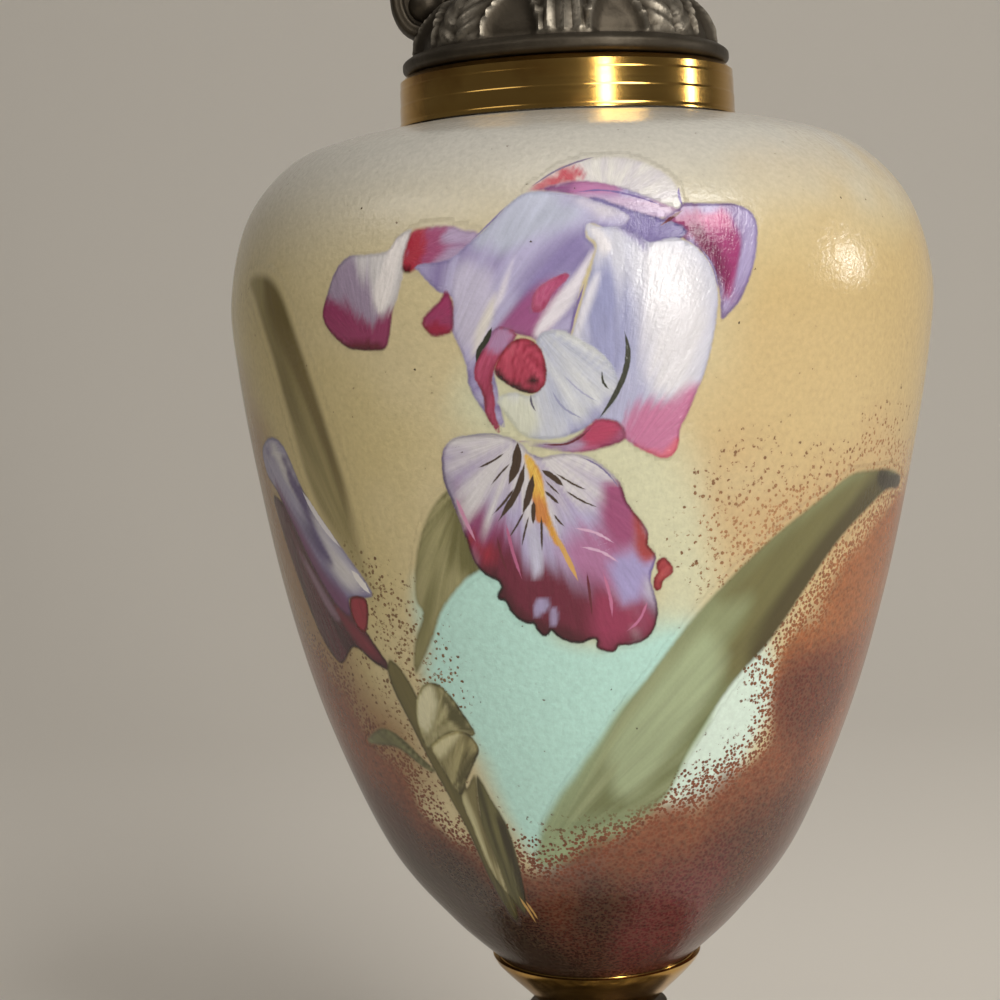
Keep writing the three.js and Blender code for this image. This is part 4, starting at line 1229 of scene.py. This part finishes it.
class EWER_OT_foot(bpy.types.Operator):
    """Turn and carve the cast foot"""

    bl_idname = "ewer.foot"
    bl_label = "Foot"

    def execute(self, context):
        s = sizes()
        high = FOOT_HIGH.z
        points = scaled(FOOT_SECTION, s.stem_radius / MM, FOOT_RADIUS, 0, high)
        outer = smooth_line(points, 150)
        outer[:, 0] = np.minimum(outer[:, 0], FOOT_HIGH.x)
        outer[:, 1] = np.clip(outer[:, 1], 0, high)
        section = [(0, 0), *outer.tolist(), (0, high)]
        piece = turned_piece("foot_casting", section, [(360, CARVED_COLUMNS)], False)
        start, end = FOOT_LEAVES
        places, _ = carve(piece, lambda z: (z / high - start) / (end - start), s.foot_carving / MM)
        move_corners(piece, places)
        finish_piece(piece, "foot", bpy.data.materials["Bronzed spelter"])
        return {"FINISHED"}


def pour(places, angle, s):
    """Draws the mouth out into its spout and lifts it over the handle."""
    lift = ramp((places[:, 2] - NECK_LOW.z) / NECK_HEIGHT, 0.6, 1)
    spout = np.maximum(np.cos(angle), 0) ** 3
    thumb = np.maximum(-np.cos(angle), 0) ** 4
    out = places.copy()
    out[:, 0] += 17 * lift**2 * spout
    out[:, 1] *= 1 - 0.18 * lift
    out[:, 2] += lift**2 * (15 * spout + 4 * thumb)
    return out


def neck_outside(s):
    waist, mouth = s.waist_radius / MM, s.mouth_radius / MM
    low, rim = NECK_LOW.z, RIM_RADIUS
    edge = [(rim - 0.8, low), (rim, low + 0.8), (rim - 0.1, DOME_FOOT - 1), (rim - 1.3, DOME_FOOT - 0.1)]
    dome = scaled(DOME_SECTION, waist, rim, DOME_FOOT, DOME_TOP)
    throat = scaled(THROAT_SECTION, waist, mouth, DOME_TOP, NECK_TOP)
    return edge, dome, throat


class EWER_OT_neck(bpy.types.Operator):
    """Turn the neck, carve its dome and draw out the mouth"""

    bl_idname = "ewer.neck"
    bl_label = "Neck"

    def execute(self, context):
        s = sizes()
        wall, waist, mouth = s.neck_wall / MM, s.waist_radius / MM, s.mouth_radius / MM
        edge, dome, throat = neck_outside(s)
        rim = smooth_line(edge, 12)
        rim[:, 0] = np.minimum(rim[:, 0], RIM_RADIUS)
        rim[:, 1] = np.clip(rim[:, 1], NECK_LOW.z, DOME_FOOT)
        upper = smooth_line([edge[-1], *dome, *throat], 230)[1:]
        bore = scaled([(0.55, 0.85), (0.2, 0.7), (0, 0.5), (0, 0.28)], waist, mouth, NECK_LOW.z, NECK_TOP)
        bore = [(radius - wall, height) for radius, height in bore]
        bore = [(mouth - wall, NECK_TOP), *bore, (dome[6][0] - wall, dome[6][1] - wall / 2)]
        bore = smooth_line(bore, 40)
        end = [(dome[4][0] - wall, dome[4][1] - wall), (s.band_flange_radius / MM - 1, NECK_LOW.z)]
        section = [*rim.tolist(), *upper.tolist(), *bore.tolist(), *end]
        piece = turned_piece("neck_casting", section, [(360, CARVED_COLUMNS)], True)
        outside = read_attribute(piece, "along") < len(rim) + len(upper)
        places, angle = carve(
            piece, lambda z: (z - DOME_FOOT) / DOME_HEIGHT, s.dome_carving / MM, outside
        )
        move_corners(piece, pour(places, angle, s))
        finish_piece(piece, "neck", bpy.data.materials["Bronzed spelter"])
        return {"FINISHED"}


# Handle: the eyes its ends curl round, and the line between them
LOWER_EYE = {"x": -24.5, "z": 233.2, "radius": 4.7, "ball": 3.4}
UPPER_EYE = {"x": -23.5, "z": 317.4, "radius": 4.0, "ball": 2.8}
HANDLE_REACH = 54
HANDLE_WIDTH = 8
HANDLE_STEPS = 180
HANDLE_SIDES = 32


def curl(eye, start, end, count):
    turns = np.radians(np.linspace(start, end, count))
    return [(eye["x"] + eye["radius"] * math.cos(t), eye["z"] + eye["radius"] * math.sin(t)) for t in turns]


def handle_line():
    low, high = LOWER_EYE, UPPER_EYE
    return [
        *curl(low, 10, -170, 5),
        (low["x"] - 6.2, low["z"] + 6.2),
        (mix(low["x"], -HANDLE_REACH, 0.5), mix(low["z"], high["z"], 0.22)),
        (mix(low["x"], -HANDLE_REACH, 0.82), mix(low["z"], high["z"], 0.4)),
        (-HANDLE_REACH + 3, mix(low["z"], high["z"], 0.62)),
        (mix(high["x"], -HANDLE_REACH, 0.78), mix(low["z"], high["z"], 0.85)),
        (mix(high["x"], -HANDLE_REACH, 0.4), mix(low["z"], high["z"], 1.03)),
        *curl(high, 100, -150, 6),
    ]


def join(whole, other, operation):
    """Unites or cuts a piece with another one, which is used up."""
    deselect()
    bpy.context.view_layer.objects.active = whole
    whole.select_set(True)
    step = whole.modifiers.new(operation, "BOOLEAN")
    step.operation = operation
    step.object = other
    step.solver = "EXACT"
    bpy.ops.object.modifier_apply(modifier=step.name)
    deselect()
    other.select_set(True)
    bpy.context.view_layer.objects.active = other
    bpy.ops.object.delete()


def stretched_bar(sides, steps):
    """A closed bar of one ring on the other, along +Z, one millimetre a ring and one wide."""
    deselect()
    bpy.ops.mesh.primitive_circle_add(vertices=sides, radius=MM, fill_type="TRIFAN")
    piece = bpy.context.object
    bpy.ops.object.mode_set(mode="EDIT")
    bpy.ops.mesh.select_all(action="SELECT")
    for _ in range(steps):
        bpy.ops.mesh.extrude_region_move(TRANSFORM_OT_translate={"value": (0, 0, MM)})
    bpy.ops.mesh.select_all(action="SELECT")
    bpy.ops.mesh.normals_make_consistent(inside=False)
    bpy.ops.object.mode_set(mode="OBJECT")
    return piece


class EWER_OT_handle(bpy.types.Operator):
    """Sweep the scroll handle, with a ball in each curl"""

    bl_idname = "ewer.handle"
    bl_label = "Handle"

    def execute(self, context):
        s = sizes()
        path = smooth_line(handle_line(), HANDLE_STEPS)
        piece = stretched_bar(HANDLE_SIDES, HANDLE_STEPS)
        piece.name = piece.data.name = "handle_casting"
        local = corners(piece)
        step = np.rint(local[:, 2]).astype(int)
        share = step / HANDLE_STEPS
        centre = path[step]
        along = np.gradient(path, axis=0)
        along /= np.linalg.norm(along, axis=1)[:, None]
        along = along[step]
        full = ramp(share, 0.12, 0.4) * ramp(share, 0.95, 0.7)
        knop = 2.4 * bump(share, 0.36, 0.03)
        depth = mix(3, 6, full) + knop
        width = HANDLE_WIDTH + knop
        out = local[:, 0] * depth / 2
        channel = 1 - 0.2 * bump(local[:, 0], 0, 0.5)
        places = np.stack([
            centre[:, 0] - along[:, 1] * out, local[:, 1] * channel * width / 2,
            centre[:, 1] + along[:, 0] * out,
        ], 1)
        move_corners(piece, places)
        for eye in (LOWER_EYE, UPPER_EYE):
            deselect()
            bpy.ops.mesh.primitive_cylinder_add(
                vertices=64, radius=eye["radius"] * MM, depth=HANDLE_WIDTH * 0.6 * MM,
                location=(eye["x"] * MM, 0, eye["z"] * MM), rotation=(math.pi / 2, 0, 0),
            )
            join(piece, bpy.context.object, "UNION")
            deselect()
            half = HANDLE_WIDTH / 2 + 0.35 * eye["ball"]
            bpy.ops.mesh.primitive_uv_sphere_add(
                segments=48, ring_count=32, radius=eye["ball"] * MM,
                location=(eye["x"] * MM, 0, eye["z"] * MM), scale=(1, half / eye["ball"], 1),
            )
            join(piece, bpy.context.object, "UNION")
        join(piece, neck_envelope(s), "DIFFERENCE")
        write_attribute(piece, "worn", np.full(len(piece.data.vertices), 0.5))
        finish_piece(piece, "handle", bpy.data.materials["Bronzed spelter"])
        return {"FINISHED"}


def neck_envelope(s):
    """The neck's outside, grown by the gap, to cut the handle back to."""
    edge, dome, throat = neck_outside(s)
    outer = [(radius + GAP, height) for radius, height in [*edge, *dome, *throat]]
    section = [(0, NECK_LOW.z - GAP), *outer, (0, NECK_TOP + 4 + GAP)]
    piece = turned_piece("neck_envelope", section, [(360, 112)], False)
    places, angle = carve(piece, lambda z: (z - DOME_FOOT) / DOME_HEIGHT, s.dome_carving / MM)
    move_corners(piece, pour(places, angle, s))
    return piece


# Stage: how the picture was taken, in metres and radians
CAMERA_PLACE = (0, -0.3717, 0.1762)
CAMERA_TURN, CAMERA_TILT, CAMERA_ROLL = 0.0396, -0.0854, 0.0386
LENS = 73.6


def plain_material(name, shade, roughness):
    material, tree, shader = new_material(name)
    shader.inputs["Base Color"].default_value = (*shade, 1)
    shader.inputs["Roughness"].default_value = roughness
    return material


def area_light(name, azimuth, elevation, distance, width, height, power, colour_in=(1, 1, 1)):
    """A lamp aimed at the body. Azimuth counts from the front towards the spout, in degrees."""
    deselect()
    side, up = math.radians(azimuth), math.radians(elevation)
    aim = Vector((0, 0, 0.17))
    away = Vector((math.sin(side) * math.cos(up), -math.cos(side) * math.cos(up), math.sin(up)))
    bpy.ops.object.light_add(type="AREA", location=aim + away * distance)
    lamp = bpy.context.object
    lamp.name = name
    lamp.rotation_euler = away.to_track_quat("Z", "Y").to_euler()
    lamp.data.shape = "ELLIPSE"
    lamp.data.size = width
    lamp.data.size_y = height
    lamp.data.energy = power
    lamp.data.color = colour_in


class EWER_OT_stage(bpy.types.Operator):
    """Set up the floor, backdrop, lamps and camera"""

    bl_idname = "ewer.stage"
    bl_label = "Stage"

    def execute(self, context):
        deselect()
        bpy.ops.mesh.primitive_plane_add(size=6)
        floor = context.object
        floor.name = "floor"
        bpy.ops.object.mode_set(mode="EDIT")
        bpy.ops.mesh.select_all(action="DESELECT")
        bpy.ops.object.mode_set(mode="OBJECT")
        for edge in floor.data.edges:
            edge.select = all(floor.data.vertices[v].co.y > 0 for v in edge.vertices)
        bpy.ops.object.mode_set(mode="EDIT")
        bpy.ops.mesh.select_mode(type="EDGE")
        bpy.ops.mesh.extrude_region_move(TRANSFORM_OT_translate={"value": (0, 0, 4)})
        bpy.ops.mesh.select_all(action="SELECT")
        bpy.ops.transform.translate(value=(0, -1.6, 0))
        bpy.ops.object.mode_set(mode="OBJECT")
        bend = floor.modifiers.new("Round corner", "BEVEL")
        bend.width = 0.9
        bend.segments = 16
        bpy.ops.object.modifier_apply(modifier=bend.name)
        bpy.ops.object.shade_smooth()
        floor.data.materials.append(plain_material("Pale paper", srgb(232, 226, 216), 0.9))
        world = bpy.data.worlds.new("Soft room")
        context.scene.world = world
        world.use_nodes = True
        background = world.node_tree.nodes["Background"]
        background.inputs["Color"].default_value = (1, 0.95, 0.88, 1)
        background.inputs["Strength"].default_value = 0.09
        area_light("key", 26, 8, 1.0, 0.11, 0.7, 3.6, (1, 0.97, 0.92))
        area_light("front", 40, 38, 1.5, 0.9, 0.6, 11, (1, 0.98, 0.95))
        area_light("side", 92, 12, 1.0, 0.08, 0.2, 1, (1, 0.97, 0.93))
        area_light("top", 10, 70, 1.5, 1.2, 1.2, 4, (1, 0.98, 0.95))
        area_light("left", -60, 42, 1.6, 1.2, 0.6, 2.4, (1, 0.96, 0.92))
        bpy.ops.object.camera_add(location=CAMERA_PLACE)
        camera = context.object
        camera.rotation_mode = "QUATERNION"
        camera.rotation_quaternion = (
            Quaternion((0, 0, 1), CAMERA_TURN)
            @ Quaternion((1, 0, 0), CAMERA_TILT)
            @ Quaternion((0, 1, 0), CAMERA_ROLL)
            @ Quaternion((1, 0, 0), math.pi / 2)
        )
        camera.data.lens = LENS
        camera.data.sensor_width = 36
        context.scene.camera = camera
        context.scene.view_settings.view_transform = "Standard"
        return {"FINISHED"}


class EWER_PT_panel(bpy.types.Panel):
    """The ewer's sizes and its pieces"""

    bl_idname = "EWER_PT_panel"
    bl_label = "Painted ewer"
    bl_space_type = "VIEW_3D"
    bl_region_type = "UI"
    bl_category = "Ewer"

    def draw(self, context):
        for name in EwerSizes.__annotations__:
            self.layout.prop(context.scene.ewer_sizes, name)
        for step in STEPS:
            self.layout.operator(step.bl_idname)


STEPS = [
    EWER_OT_body, EWER_OT_lower_collar, EWER_OT_upper_collar, EWER_OT_foot, EWER_OT_neck,
    EWER_OT_handle, EWER_OT_stage,
]


def register():
    for item in (EwerSizes, *STEPS, EWER_PT_panel):
        bpy.utils.register_class(item)
    bpy.types.Scene.ewer_sizes = PointerProperty(type=EwerSizes)


def unregister():
    del bpy.types.Scene.ewer_sizes
    for item in (EWER_PT_panel, *reversed(STEPS), EwerSizes):
        bpy.utils.unregister_class(item)


def main():
    register()
    spelter_material()
    bpy.ops.ewer.body()
    bpy.ops.ewer.lower_collar()
    bpy.ops.ewer.upper_collar()
    bpy.ops.ewer.foot()
    bpy.ops.ewer.neck()
    bpy.ops.ewer.handle()
    bpy.ops.ewer.stage()


if __name__ == "__main__":
    main()
